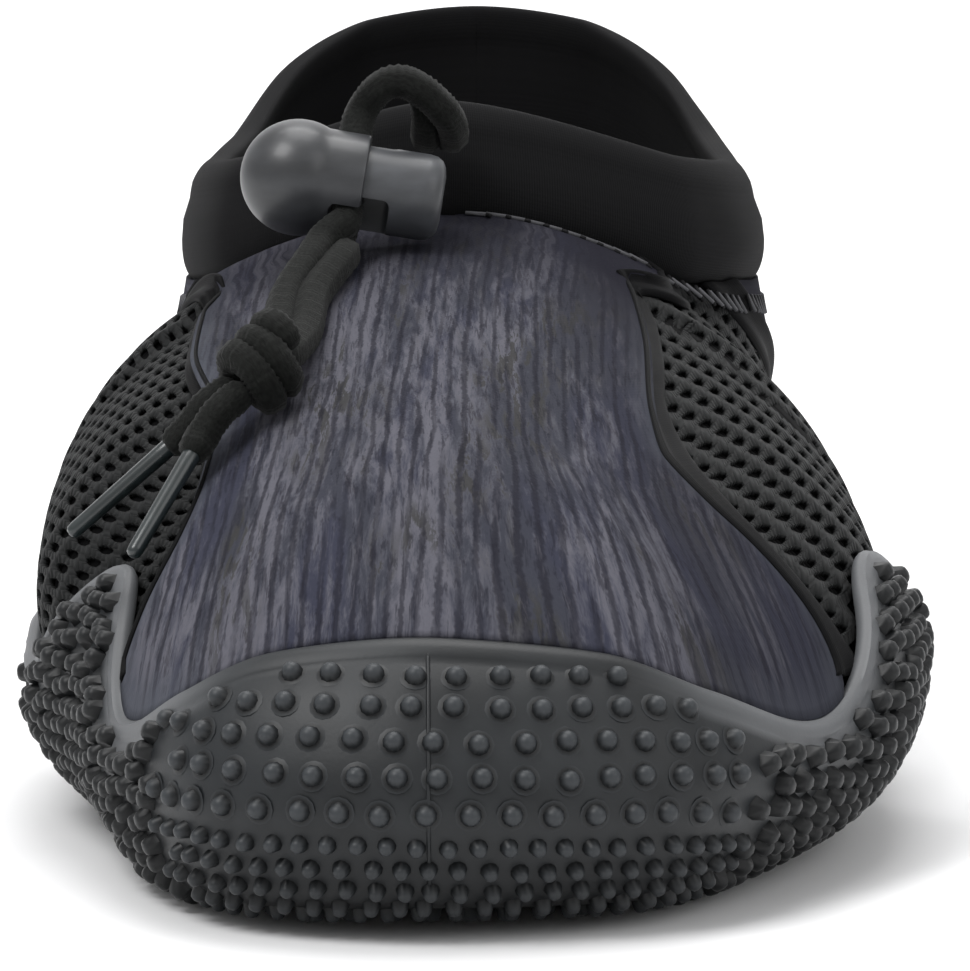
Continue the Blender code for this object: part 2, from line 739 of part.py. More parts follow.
# Cord lock. Its axis runs from the round nose on the medial side to the button, and tips down a little. The
# cords cross it from the collar's side above to the toe's side below.
LOCK_SEAT = crest(LOCK_ROW)
LOCK_CENTRE = LOCK_SEAT + Vector((-LOCK_SIDE_SHIFT, 0, LOCK_HEIGHT))
LOCK_TILT = math.radians(9)
LOCK_ROLL = math.radians(-35)
LOCK_MATRIX = (
    Matrix.Translation(LOCK_CENTRE) @ Matrix.Rotation(LOCK_TILT, 4, "Y") @ Matrix.Rotation(LOCK_ROLL, 4, "X")
)
# The cords cross the button's slot at its inner end, so that the button can be pressed past them.
CORD_FROM_RIM = -CORD_DIAMETER / 2 - CORD_CLEARANCE
SLOT_DEPTH = 2 * CORD_DIAMETER + 3 * CORD_CLEARANCE


def turned(name, profile, group, finish):
    """A body turned about the lock's axis, its local X, from a profile of (along, radius) points."""
    form = bmesh.new()
    verts = [form.verts.new((along, 0, radius)) for along, radius in profile]
    edges = [form.edges.new(pair) for pair in zip(verts, verts[1:])]
    bmesh.ops.spin(
        form, geom=verts + edges, cent=(0, 0, 0), axis=(1, 0, 0), angle=2 * math.pi, steps=20, use_merge=True
    )
    bmesh.ops.remove_doubles(form, verts=form.verts, dist=0.01 * MM)
    bmesh.ops.recalc_face_normals(form, faces=form.faces)
    obj = add_object(name, finish_mesh(form, name), group, finish)
    obj.matrix_world = LOCK_MATRIX
    return obj


def cutter_box(name, low, high, group):
    form = bmesh.new()
    bmesh.ops.create_cube(form, size=1.0)
    for vertex in form.verts:
        vertex.co = Vector(
            (high[i] if vertex.co[i] > 0 else low[i]) for i in range(3)
        )
    box = add_object(name, finish_mesh(form, name), group, "lock_plastic")
    box.matrix_world = LOCK_MATRIX
    box.hide_render = True
    box.display_type = "WIRE"
    return box


def nose_profile():
    """The round nose of the lock's body, from its tip on the axis to the full radius."""
    centre = -(LOCK_BODY_LENGTH - LOCK_RADIUS)
    turns = [math.radians(angle) for angle in (0, 15, 30, 45, 60, 75, 90)]
    return [(centre - LOCK_RADIUS * math.cos(a), LOCK_RADIUS * math.sin(a)) for a in turns]


def make_lock(group, cutters):
    """The lock's body, open at its rim, and the button that slides in it, with the slots the cords cross."""
    bore = [
        (-LOCK_EDGE_ROUND, LOCK_RADIUS),
        (0.0, LOCK_RADIUS - LOCK_EDGE_ROUND),
        (0.0, LOCK_BORE_RADIUS),
        (-LOCK_BORE_DEPTH, LOCK_BORE_RADIUS),
        (-LOCK_BORE_DEPTH, 0.0),
    ]
    body = turned("lock_body", nose_profile() + bore, group, "lock_plastic")
    head = BUTTON_HEAD
    stem = [
        (-BUTTON_STEM, 0.0),
        (-BUTTON_STEM, BUTTON_RADIUS),
        (head - 2 * LOCK_EDGE_ROUND, BUTTON_RADIUS),
        (head - 0.6 * LOCK_EDGE_ROUND, BUTTON_RADIUS - 0.6 * LOCK_EDGE_ROUND),
        (head, BUTTON_RADIUS - 2 * LOCK_EDGE_ROUND),
        (head, 0.0),
    ]
    button = turned("lock_button", stem, group, "lock_plastic")

    half = CORD_DIAMETER + 2.5 * CORD_CLEARANCE
    far = 2 * LOCK_RADIUS
    notch_start = CORD_FROM_RIM - CORD_DIAMETER / 2 - CORD_CLEARANCE
    notch = cutter_box("lock_notch", (notch_start - CORD_CLEARANCE, -half, -far), (far, half, far), cutters)
    slot_end = notch_start + SLOT_DEPTH + BUTTON_TRAVEL - CORD_DIAMETER
    slot = cutter_box("button_slot", (notch_start, -half, -far), (slot_end, half, far), cutters)
    add_modifier(body, "BOOLEAN", operation="DIFFERENCE", object=notch, solver="EXACT")
    add_modifier(button, "BOOLEAN", operation="DIFFERENCE", object=slot, solver="EXACT")
    return body, button


def in_lock(along, across, up):
    """A point given along the lock's axis, across it and up, in the shoe's own frame."""
    return LOCK_MATRIX @ Vector((along, across, up))


def fine_route(points, steps=12):
    """A Catmull-Rom curve through a route's points."""
    fine = []
    padded = [2 * points[0] - points[1], *points, 2 * points[-1] - points[-2]]
    for a, b, c, d in zip(padded, padded[1:], padded[2:], padded[3:]):
        for step in range(steps):
            fine.append(hermite(b, c, (c - a) / 2, (d - b) / 2, step / steps))
    return [*fine, points[-1]]


def evenly(fine, spacing):
    """Points at an even spacing along a finely drawn route."""
    total = sum((q - p).length for p, q in zip(fine, fine[1:]))
    count = max(2, round(total / spacing))
    route, walked, target = [fine[0]], 0.0, total / count
    for p, q in zip(fine, fine[1:]):
        step = (q - p).length
        while step > 0 and walked + step >= target and len(route) < count:
            route.append(p.lerp(q, (target - walked) / step))
            target += total / count
        walked += step
    return [*route, fine[-1]]


def make_tube(name, points, diameter, group, finish):
    """A round cord along a POLY spline, with capped ends."""
    curve = bpy.data.curves.new(name, "CURVE")
    curve.dimensions = "3D"
    spline = curve.splines.new("POLY")
    spline.points.add(len(points) - 1)
    for spot, point in zip(spline.points, points):
        spot.co = (*point, 1)
    curve.bevel_depth = diameter / 2
    curve.bevel_resolution = 2
    curve.use_fill_caps = True
    curve.materials.append(material(finish))
    obj = bpy.data.objects.new(name, curve)
    group.objects.link(obj)
    return obj


# The cord's loop from the collar's front to the lock, seen from the collar seam at the throat: how far towards
# the medial side, towards the toe and up.
Bend = namedtuple("Bend", "name medial forward up")
CORD_LOOP = (
    Bend("in collar", 0.7 * MM, 3.9 * MM, 10.9 * MM),
    Bend("out of collar", 0.5 * MM, 8.7 * MM, 11.6 * MM),
    Bend("rise", 0.7 * MM, 13.1 * MM, 14.2 * MM),
    Bend("top", 2.9 * MM, 15.1 * MM, 17.4 * MM),
    Bend("over", 6.5 * MM, 15.2 * MM, 18.2 * MM),
)

# Places of the cord's free end on the vamp and mesh: ring place, share of the meridian, height above the last.
Rest = namedtuple("Rest", "name ring share height")
CORD_RESTS = (
    Rest("below lock", 6.95, 0.872, 4.6 * MM),
    Rest("instep", 7.25, 0.838, 3.9 * MM),
    Rest("above knot", 7.62, 0.812, 4.1 * MM),
    Rest("knot", 8.15, 0.775, 7.2 * MM),
    Rest("tails", 8.05, 0.655, 5.6 * MM),
    Rest("back tip", 7.7, 0.50, 4.6 * MM),
    Rest("front tip", 8.3, 0.492, 4.2 * MM),
)


def resting(name):
    rest = next(row for row in CORD_RESTS if row.name == name)
    return offset_point(rest.ring, rest.share, rest.height)


def loop_point(name):
    bend = next(row for row in CORD_LOOP if row.name == name)
    return crest(THROAT_ROW) + Vector((-bend.medial, -bend.forward, bend.up))


def strand_pair():
    """The middle of the doubled cord, from the collar's front over its loop and through the lock to the knot,
    with the direction in which its two strands lie side by side."""
    across, forward, level = Vector((1, 0, 0)), Vector((0, -1, 0)), Vector((-1, 0, 0))
    knot = resting("knot")
    near_knot = resting("above knot")
    stop = knot + (near_knot - knot).normalized() * (KNOT_WIDTH / 2 + GAP)
    return [
        (loop_point("in collar"), across),
        (loop_point("out of collar"), across),
        (loop_point("rise"), across + forward),
        (loop_point("top"), forward),
        (loop_point("over"), forward),
        (in_lock(CORD_FROM_RIM - 0.2 * MM, 0, LOCK_RADIUS + 3.4 * MM), forward),
        (in_lock(CORD_FROM_RIM, 0, LOCK_RADIUS / 2), forward),
        (in_lock(CORD_FROM_RIM, 0, -LOCK_RADIUS / 2), forward),
        (in_lock(CORD_FROM_RIM, 0, -LOCK_RADIUS + 0.2 * MM), forward),
        (resting("below lock"), forward + 2 * level),
        (resting("instep"), level),
        (near_knot, level),
        (stop, level),
    ]


def strands():
    """Both strands, half a pitch to either side of the pair's middle and square to its run."""
    rows = strand_pair()
    middle = fine_route([point for point, way in rows])
    ways = fine_route([way.normalized() for point, way in rows])
    half = (CORD_DIAMETER + CORD_CLEARANCE) / 2
    pair = ([], [])
    for i, (point, way) in enumerate(zip(middle, ways)):
        run = (middle[min(i + 1, len(middle) - 1)] - middle[max(i - 1, 0)]).normalized()
        side = (way - run * way.dot(run)).normalized()
        pair[0].append(point + side * half)
        pair[1].append(point - side * half)
    return pair


def make_drawcord(group):
    """Two strands, the lump of their knot, two short tails and the two moulded tips."""
    for fine, word in zip(strands(), ("front", "back")):
        make_tube(f"cord_{word}", evenly(fine, CORD_SPACING), CORD_DIAMETER, group, "cord")

    centre, tails = resting("knot"), resting("tails")
    way = (tails - centre).normalized()
    form = bmesh.new()
    bmesh.ops.create_uvsphere(form, u_segments=12, v_segments=8, radius=0.5)
    bmesh.ops.scale(form, vec=(KNOT_WIDTH, KNOT_WIDTH, KNOT_LENGTH), verts=form.verts)
    knot = add_object("cord_knot", finish_mesh(form, "cord_knot"), group, "cord")
    knot.matrix_world = Matrix.Translation(centre) @ way.to_track_quat("Z", "Y").to_matrix().to_4x4()

    across = (resting("front tip") - resting("back tip"))
    across = (across - way * across.dot(way)).normalized() * (CORD_DIAMETER / 2 + CORD_CLEARANCE / 2)
    for side, word in ((1, "front"), (-1, "back")):
        start = centre + way * (KNOT_LENGTH / 2 + GAP) + across * side
        tail = tails + way * TAIL_REACH + across * side * 1.15
        end = resting(f"{word} tip")
        make_tube(f"cord_tail_{word}", [start, tail], CORD_DIAMETER, group, "cord")
        tip_way = (end - tail).normalized()
        turn = (tail - start).normalized().cross(tip_way).length
        begin = tail + tip_way * (GAP + CORD_DIAMETER / 2 * turn)
        make_tube(f"cord_tip_{word}", [begin, begin + tip_way * TIP_LENGTH], TIP_DIAMETER, group, "tip_plastic")


def main():
    clear_scene()
    shoe = collection("water_shoe")
    cutters = collection("cutters", hidden=True)
    make_upper(shoe)
    make_vamp_panel(shoe)
    make_heel_panel(shoe)
    make_outsole(shoe)
    make_insole(shoe)
    make_collar(shoe)
    make_lock(shoe, cutters)
    make_drawcord(shoe)


main()
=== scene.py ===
"""Looks of a left water shoe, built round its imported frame.

The toe points to -Y, the heel to +Y, the big-toe (medial) side to -X and the little-toe side to +X. The floor is
Z = 0. The cloth pieces are draped over the last, a surface of meridians: a ring coordinate runs round the foot,
from 0 at the heel along the medial side to TOE_ROW at the toe tip and back along the lateral side, and a share
runs up each meridian from the feather line under the foot to the crest.
"""

import json
import math
from collections import namedtuple
from functools import lru_cache

import bmesh
import bpy
from mathutils import Matrix, Vector, noise

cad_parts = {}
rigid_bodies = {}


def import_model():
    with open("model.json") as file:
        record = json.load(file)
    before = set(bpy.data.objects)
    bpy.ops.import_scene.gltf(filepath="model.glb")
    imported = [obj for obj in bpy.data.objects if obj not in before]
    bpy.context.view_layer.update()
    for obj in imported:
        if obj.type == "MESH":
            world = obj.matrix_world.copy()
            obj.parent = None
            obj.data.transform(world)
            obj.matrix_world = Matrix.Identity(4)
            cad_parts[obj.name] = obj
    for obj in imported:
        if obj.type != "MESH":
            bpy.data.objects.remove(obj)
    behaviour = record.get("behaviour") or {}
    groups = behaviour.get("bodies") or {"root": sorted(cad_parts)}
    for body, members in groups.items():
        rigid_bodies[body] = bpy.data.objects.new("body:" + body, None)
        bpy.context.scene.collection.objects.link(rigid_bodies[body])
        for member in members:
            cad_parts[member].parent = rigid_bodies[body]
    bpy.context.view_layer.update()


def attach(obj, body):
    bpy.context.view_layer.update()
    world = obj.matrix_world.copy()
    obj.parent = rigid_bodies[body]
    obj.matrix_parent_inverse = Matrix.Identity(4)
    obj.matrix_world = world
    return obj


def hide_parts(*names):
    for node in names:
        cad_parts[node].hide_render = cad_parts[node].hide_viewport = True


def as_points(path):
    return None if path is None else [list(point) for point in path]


bl_info = {
    "name": "Water Shoe",
    "version": (1, 0, 0),
    "blender": (4, 5, 0),
    "location": "View3D > Sidebar > Water Shoe",
    "description": "Builds the looks of a left water shoe round its packed frame",
    "category": "Object",
}

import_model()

MM = 0.001

# Last: the outer form of the upper, which everything else follows.
LAST_LENGTH = 262.0 * MM
BALL_WIDTH = 98.0 * MM
INSTEP_HEIGHT = 65.0 * MM
COLLAR_WIDTH = 72.0 * MM
TUCK = 12.0 * MM

# Walls and clearances.
PANEL_THICKNESS = 0.9 * MM
GAP = 0.3 * MM
PANEL_GAP = 0.75 * MM
PANEL_SET_BACK = 1.2 * MM
SOLE_GAP = 0.5 * MM

# Outsole.
NUB_HEIGHT = 1.8 * MM
BASE_THICKNESS = 3.2 * MM
SOLE_WALL = 2.4 * MM
SOLE_EDGE = 1.6 * MM
TOE_SPRING = 1.2 * MM
ARCH_RISE = 2.5 * MM

# Insole.
INSOLE_THICKNESS = 3.5 * MM
INSOLE_CLEARANCE = 2.0 * MM
INSOLE_LIFT = 0.4 * MM

# Collar.
COLLAR_HEIGHT = 15.3 * MM
COLLAR_HEEL_EXTRA = 2.5 * MM
COLLAR_THICKNESS = 5.0 * MM
COLLAR_OVERHANG = 2.2 * MM
COLLAR_BULGE = 1.2 * MM
COLLAR_LEAN = 2.5 * MM

# Drawcord, knot and tips.
CORD_DIAMETER = 2.8 * MM
KNOT_LENGTH = 9.8 * MM
KNOT_WIDTH = 9.6 * MM
TAIL_REACH = -0.5 * MM

# Cord lock: a round-nosed body with a sprung button, both crossed by the cords.
LOCK_RADIUS = 7.0 * MM
LOCK_BODY_LENGTH = 15.0 * MM
LOCK_BORE_RADIUS = 5.6 * MM
LOCK_BORE_DEPTH = 10.2 * MM
BUTTON_RADIUS = 5.2 * MM
BUTTON_HEAD = 9.5 * MM
BUTTON_STEM = 6.6 * MM
BUTTON_TRAVEL = 3.0 * MM
CORD_CLEARANCE = 0.35 * MM
LOCK_HEIGHT = 9.05 * MM
LOCK_SIDE_SHIFT = 8.15 * MM

# Section rows of the ring, and places on it.
TOE_ROW = 11
THROAT_ROW = 6
LOCK_ROW = 6.84
RING_LENGTH = 2 * TOE_ROW
SAME = 1e-6

# A quarter ellipse drawn as one cubic has tangents of this many radii.
QUARTER = 1.657

# Sections from the heel to the toe. station: share of the last's length from the heel to the widest point.
# medial, lateral: half widths there, as shares of half the ball width. widest_medial, widest_lateral: its
# height, a share of the instep height. tuck_medial, tuck_lateral: how far the feather line lies inside it, a
# share of TUCK. medial_full, lateral_full: how full the wall is between the widest point and the crest.
# crest_station: where the meridian ends. crest_half: half width there, a share of half the collar width.
# crest_shift: the crest's sideways shift, a share of half the ball width. crest_height: in metres. lean: the
# wall's slope at the crest in degrees, 90 upright. spine_station: the facing place on the foot bed's middle.
Section = namedtuple(
    "Section",
    "name station medial lateral widest_medial widest_lateral tuck_medial tuck_lateral medial_full lateral_full"
    " crest_station crest_half crest_shift crest_height lean spine_station",
)
TOP = INSTEP_HEIGHT
SECTIONS = (
    Section("heel", 0.0, 0.0, 0.0, 0.37, 0.37, 0.72, 0.72, 1.0, 1.0, 0.018, 0.0, 0.0, 1.1 * TOP, 84, 0.075),
    Section("heel_turn", 0.022, 0.38, 0.38, 0.37, 0.37, 0.74, 0.74, 1.0, 1.0, 0.03, 0.46, 0.0, 1.08 * TOP, 86, 0.088),
    Section("heel_side", 0.085, 0.61, 0.62, 0.38, 0.38, 0.8, 0.8, 1.0, 1.0, 0.085, 0.80, 0.0, 1.0 * TOP, 90, 0.125),
    Section("heel_seat", 0.2, 0.68, 0.7, 0.4, 0.4, 0.9, 0.9, 1.0, 1.0, 0.2, 0.96, 0.0, 0.88 * TOP, 92, 0.21),
    Section("waist", 0.36, 0.73, 0.78, 0.44, 0.4, 0.95, 0.95, 1.0, 1.0, 0.34, 1.0, -0.01, 0.85 * TOP, 82, 0.36),
    Section("instep", 0.51, 0.9, 0.91, 0.48, 0.38, 1.0, 1.0, 1.25, 1.1, 0.455, 0.79, -0.04, 0.875 * TOP, 52, 0.51),
    Section("ball_rear", 0.62, 1.03, 0.97, 0.47, 0.36, 1.0, 1.0, 1.4, 1.2, 0.495, 0.0, -0.08, 0.985 * TOP, 0, 0.62),
    Section("ball", 0.71, 1.02, 0.97, 0.41, 0.33, 1.0, 1.0, 1.4, 1.25, 0.585, 0.0, -0.11, 0.92 * TOP, 0, 0.71),
    Section("toe_side", 0.81, 0.84, 0.89, 0.28, 0.27, 0.7, 1.0, 1.2, 1.25, 0.69, 0.0, -0.12, 0.83 * TOP, 0, 0.79),
    Section("toe_turn", 0.905, 0.69, 0.66, 0.22, 0.23, 0.3, 0.8, 1.3, 1.3, 0.78, 0.0, -0.12, 0.75 * TOP, 0, 0.85),
    Section("toe_corner", 0.975, 0.50, 0.37, 0.22, 0.22, 0.35, 0.5, 1.4, 1.4, 0.84, 0.0, -0.11, 0.70 * TOP, 0, 0.88),
    Section("toe", 1.0, 0.12, -0.12, 0.22, 0.22, 0.4, 0.4, 1.4, 1.4, 0.855, 0.0, -0.11, 0.68 * TOP, 0, 0.89),
)

# Top edge of the outsole, a wave. The rows where it turns on each side, and its height there as a share of
# the instep height.
Turn = namedtuple("Turn", "name medial_row lateral_row height")
EDGE_WAVE = (
    Turn("heel back", 0.0, 0.0, 0.50),
    Turn("heel side", 1.0, 1.0, 0.48),
    Turn("heel front", 2.2, 2.2, 0.36),
    Turn("waist", 4.2, 4.2, 0.25),
    Turn("behind ball", 6.3, 5.9, 0.32),
    Turn("ball dip", 7.25, 6.7, 0.28),
    Turn("ball flap", 8.0, 7.5, 0.46),
    Turn("toe dip", 8.8, 8.8, 0.265),
    Turn("bumper side", 9.55, 9.6, 0.342),
    Turn("bumper corner", 10.1, 10.1, 0.405),
    Turn("toe", 11.0, 11.0, 0.445),
)

# Floor clearance of the outsole's underside: section row, share of TOE_SPRING.
SPRING = ((0.0, 0.25), (1.0, 0.12), (1.6, 0.0), (9.0, 0.0), (10.0, 0.45), (11.0, 1.0))
# The same for the arch: section row, share of ARCH_RISE on the medial side.
ARCH = ((0.0, 0.0), (3.3, 0.0), (4.4, 1.0), (5.6, 0.0), (11.0, 0.0))
LATERAL_ARCH_SHARE = 0.35

# Lower edge of the vamp panel, on each side: a share of the way from the collar to the toe tip, the section
# row, and the share of the meridian from the feather line to the crest. From the foot row on it follows the
# outsole.
Edge = namedtuple("Edge", "name way medial_row medial_share lateral_row lateral_share")
VAMP_EDGE = (
    Edge("collar", 0.0, 4.8, 0.95, 5.35, 0.95),
    Edge("below collar", 0.1, 5.6, 0.79, 5.85, 0.78),
    Edge("instep", 0.2, 6.3, 0.69, 6.5, 0.76),
    Edge("ball", 0.4, 7.4, 0.69, 7.7, 0.74),
    Edge("toes", 0.5, 8.1, 0.63, 8.35, 0.70),
    Edge("turn", 0.55, 8.4, 0.55, 8.5, 0.60),
    Edge("corner", 0.6, 8.5, 0.45, 8.5, 0.47),
    Edge("foot", 0.65, 8.6, 0.34, 8.55, 0.36),
    Edge("toe", 1.0, 11.0, 0.30, 11.0, 0.30),
)
VAMP_THROAT_WAY = 0.2
# Where the panel's cross lines end on the ridge, from the throat to the toe: way, and section row.
VAMP_RIDGE = ((0.2, 6.07), (0.4, 7.75), (0.5, 8.5), (0.65, 9.2), (1.0, 11.0))
# Front edge of the heel panel: share of the height from the outsole to the collar, and section row.
HEEL_PANEL_FRONT = ((0.0, 3.4), (0.5, 3.85), (1.0, 4.65))


def hermite(a, b, slope_a, slope_b, f):
    """The cubic from a to b with these end slopes, at share f. It works on numbers and on vectors."""
    f2, f3 = f * f, f * f * f
    return (
        a * (2 * f3 - 3 * f2 + 1)
        + slope_a * (f3 - 2 * f2 + f)
        + b * (3 * f2 - 2 * f3)
        + slope_b * (f3 - f2)
    )


def smooth_share(f):
    f = min(1.0, max(0.0, f))
    return f * f * (3 - 2 * f)


class Ring:
    """One quantity round a closed ring of rows, as a monotone cubic that never overshoots them."""

    def __init__(self, values):
        self.values = list(values)
        count = len(self.values)
        steps = [self.values[(i + 1) % count] - self.values[i] for i in range(count)]
        self.slopes = [shared_slope(steps[i - 1], steps[i]) for i in range(count)]

    def __call__(self, place):
        count = len(self.values)
        row = math.floor(place)
        i, j = row % count, (row + 1) % count
        return hermite(self.values[i], self.values[j], self.slopes[i], self.slopes[j], place - row)


class Track:
    """One quantity along a table of (place, value) rows, as a monotone cubic."""

    def __init__(self, table):
        self.places = [row[0] for row in table]
        self.values = [row[1] for row in table]
        rates = [
            (self.values[i + 1] - self.values[i]) / (self.places[i + 1] - self.places[i])
            for i in range(len(table) - 1)
        ]
        inner = [shared_slope(a, b) for a, b in zip(rates, rates[1:])]
        self.slopes = [rates[0], *inner, rates[-1]]

    def __call__(self, place):
        i = 0
        while i < len(self.places) - 2 and place > self.places[i + 1]:
            i += 1
        span = self.places[i + 1] - self.places[i]
        f = min(1.0, max(0.0, (place - self.places[i]) / span))
        a, b = self.values[i], self.values[i + 1]
        return hermite(a, b, self.slopes[i] * span, self.slopes[i + 1] * span, f)


def shared_slope(a, b):
    return 0.0 if a * b <= 0 else 2 * a * b / (a + b)


def row_of(ring):
    """The section row, 0 to TOE_ROW, of a place on the ring."""
    ring = ring % RING_LENGTH
    return ring if ring <= TOE_ROW else RING_LENGTH - ring


def side_of(ring):
    """-1 on the medial side and +1 on the lateral side."""
    return -1 if ring % RING_LENGTH <= TOE_ROW else 1


def ring_of(side, row):
    """The place on the ring of a section row of one side."""
    return row if side < 0 else RING_LENGTH - row


def in_plan(point):
    return Vector((point.x, point.y, 0))


def named(rows, name):
    return next(row for row in rows if row.name == name)


def track_of(rows, value):
    """One field of a table's rows along their way."""
    return Track([(row.way, getattr(row, value)) for row in rows])


def walk(points):
    """The points, each with the length walked to it."""
    walked, last = 0.0, None
    for point in points:
        walked += (point - last).length if last else 0.0
        yield walked, point
        last = point


def both_sides(medial, lateral, last_row):
    """The ring of a quantity: medial rows from the heel forwards, then lateral rows back to the heel."""
    rows = SECTIONS[: last_row + 1]
    return Ring([medial(row) for row in rows] + [lateral(row) for row in reversed(rows[1:-1])])


def length_at(station):
    return (0.5 - station) * LAST_LENGTH


HALF_BALL = BALL_WIDTH / 2
HALF_COLLAR = COLLAR_WIDTH / 2


def crest_side(section, side):
    return section.crest_shift * HALF_BALL + side * section.crest_half * HALF_COLLAR


def even_ring(value, last_row=TOE_ROW):
    return both_sides(value, value, last_row)


WIDEST_X = both_sides(lambda s: -s.medial * HALF_BALL, lambda s: s.lateral * HALF_BALL, TOE_ROW)
WIDEST_Y = even_ring(lambda s: length_at(s.station))
WIDEST_Z = both_sides(lambda s: s.widest_medial * TOP, lambda s: s.widest_lateral * TOP, TOE_ROW)
TUCK_RING = both_sides(lambda s: s.tuck_medial * TUCK, lambda s: s.tuck_lateral * TUCK, TOE_ROW)
FULLNESS = both_sides(lambda s: s.medial_full, lambda s: s.lateral_full, TOE_ROW)
LEAN = even_ring(lambda s: math.radians(s.lean))
SPINE_Y = even_ring(lambda s: length_at(s.spine_station))

COLLAR_X = both_sides(lambda s: crest_side(s, -1), lambda s: crest_side(s, 1), THROAT_ROW)
COLLAR_Y = even_ring(lambda s: length_at(s.crest_station), THROAT_ROW)
COLLAR_Z = even_ring(lambda s: s.crest_height, THROAT_ROW)

RIDGE_ROWS = range(THROAT_ROW, TOE_ROW + 1)
RIDGE_X = Track([(row, SECTIONS[row].crest_shift * HALF_BALL) for row in RIDGE_ROWS])
RIDGE_Y = Track([(row, length_at(SECTIONS[row].crest_station)) for row in RIDGE_ROWS])
RIDGE_Z = Track([(row, SECTIONS[row].crest_height) for row in RIDGE_ROWS])

EDGE_MEDIAL = Track([(turn.medial_row, turn.height * TOP) for turn in EDGE_WAVE])
EDGE_LATERAL = Track([(turn.lateral_row, turn.height * TOP) for turn in EDGE_WAVE])
SPRING_LIFT = Track([(row, share * TOE_SPRING) for row, share in SPRING])
ARCH_LIFT = Track([(row, share * ARCH_RISE) for row, share in ARCH])

# The sole's edge passes over the toe in a soft curve: this many rows to either side are rounded.
TOE_EDGE_SOFT = 0.32


def edge_height(ring):
    """The height of the outsole's top edge."""
    row = TOE_ROW - math.hypot(TOE_ROW - row_of(ring), TOE_EDGE_SOFT)
    return (EDGE_MEDIAL if side_of(ring) < 0 else EDGE_LATERAL)(max(0.0, row))


@lru_cache(maxsize=None)
def collar_seam(ring):
    """A point of the collar seam. The ring here is the collar's own, of 2 * THROAT_ROW rows."""
    return Vector((COLLAR_X(ring), COLLAR_Y(ring), COLLAR_Z(ring)))


def crest(ring):
    row = row_of(ring)
    if row >= THROAT_ROW:
        return Vector((RIDGE_X(row), RIDGE_Y(row), RIDGE_Z(row)))
    return collar_seam(row if side_of(ring) < 0 else 2 * THROAT_ROW - row)


def spine(ring):
    """The middle of the foot bed that faces this place on the ring, in plan. Both sides share it."""
    row = row_of(ring)
    level = min(row, TOE_ROW - 1)
    return Vector(((WIDEST_X(level) + WIDEST_X(RING_LENGTH - level)) / 2, SPINE_Y(row), 0))


def lift(ring, side_share=1.0):
    """How far toe spring and arch raise the underside. side_share is 0 on the spine and 1 at the edge."""
    row = row_of(ring)
    arch = 1.0 if side_of(ring) < 0 else LATERAL_ARCH_SHARE
    middle = (1.0 + LATERAL_ARCH_SHARE) / 2
    return SPRING_LIFT(row) + ARCH_LIFT(row) * (middle + (arch - middle) * side_share)


FLOOR_OF_CUP = NUB_HEIGHT + BASE_THICKNESS
WIDEST_SHARE = 0.3
# From this share on, a place on the front half of the last counts as lying on the ridge.
ON_RIDGE = 0.999
# The ridge ends in a point at the toe, so its normal there is read a little below it.
RIDGE_END_SHARE = 0.98
# The ridge's slope is read over this many rows to either side, so that it changes softly.
RIDGE_REACH = 0.6


@lru_cache(maxsize=None)
def meridian(ring):
    """The feather, widest and crest points of a meridian, and the tangents of its two cubics."""
    row = row_of(ring)
    widest = Vector((WIDEST_X(ring), WIDEST_Y(ring), WIDEST_Z(ring)))
    inward = spine(ring) - in_plan(widest)
    inward.normalize()
    feather = widest + inward * TUCK_RING(ring)
    feather.z = FLOOR_OF_CUP + SOLE_GAP + lift(ring)
    top = crest(ring)

    over = Vector((top.x if row >= THROAT_ROW else 0.0, top.y, 0)) - in_plan(widest)
    reach = max(over.length, HALF_COLLAR / 2)
    over.normalize()
    if row >= THROAT_ROW:
        ahead, behind = row + RIDGE_REACH, row - RIDGE_REACH
        ridge_slope = (RIDGE_Z(ahead) - RIDGE_Z(behind)) / (RIDGE_Y(ahead) - RIDGE_Y(behind))
        ridge_way = Vector((over.x, over.y, over.y * ridge_slope))
    else:
        ridge_way = over
    upright = LEAN(ring)
    way = ridge_way * math.cos(upright) + Vector((0, 0, 1)) * math.sin(upright)
    rise = top.z - widest.z
    full = FULLNESS(ring)
    swing = reach * math.cos(upright) + rise * math.sin(upright)
    return (
        feather,
        widest,
        top,
        -inward * TUCK_RING(ring) * QUARTER,
        Vector((0, 0, (widest.z - feather.z) * QUARTER)),
        Vector((0, 0.35 * (top.y - widest.y), rise * full)),
        way * swing * full,
    )


def last_point(ring, share):
    """A point of the upper's outer surface. share is 0 at the feather line and 1 at the crest."""
    feather, widest, top, out, up, rise, over = meridian(round(ring, 6))
    if share <= WIDEST_SHARE:
        return hermite(feather, widest, out, up, share / WIDEST_SHARE)
    return hermite(widest, top, rise, over, (share - WIDEST_SHARE) / (1 - WIDEST_SHARE))


def side_normal(ring, share):
    step = 0.004
    low, high = max(0.0, share - step), min(1.0, share + step)
    along = last_point(ring + step, share) - last_point(ring - step, share)
    upward = last_point(ring, high) - last_point(ring, low)
    return along.cross(upward).normalized()


def last_normal(ring, share):
    """The outward normal. On the ridge both sides' normals are averaged, so offsets meet there."""
    if share > ON_RIDGE and abs(row_of(ring) - TOE_ROW) < 0.01:
        return side_normal(ring, RIDGE_END_SHARE)
    normal = side_normal(ring, share)
    if share > ON_RIDGE and row_of(ring) >= THROAT_ROW:
        normal = (normal + side_normal(RING_LENGTH - ring, share)).normalized()
    return normal


def offset_point(ring, share, distance):
    return last_point(ring, share) + last_normal(ring, share) * distance


# Rows to either side over which a soft normal is averaged.
SOFT_STEPS = (-0.16, -0.08, 0.0, 0.08, 0.16)


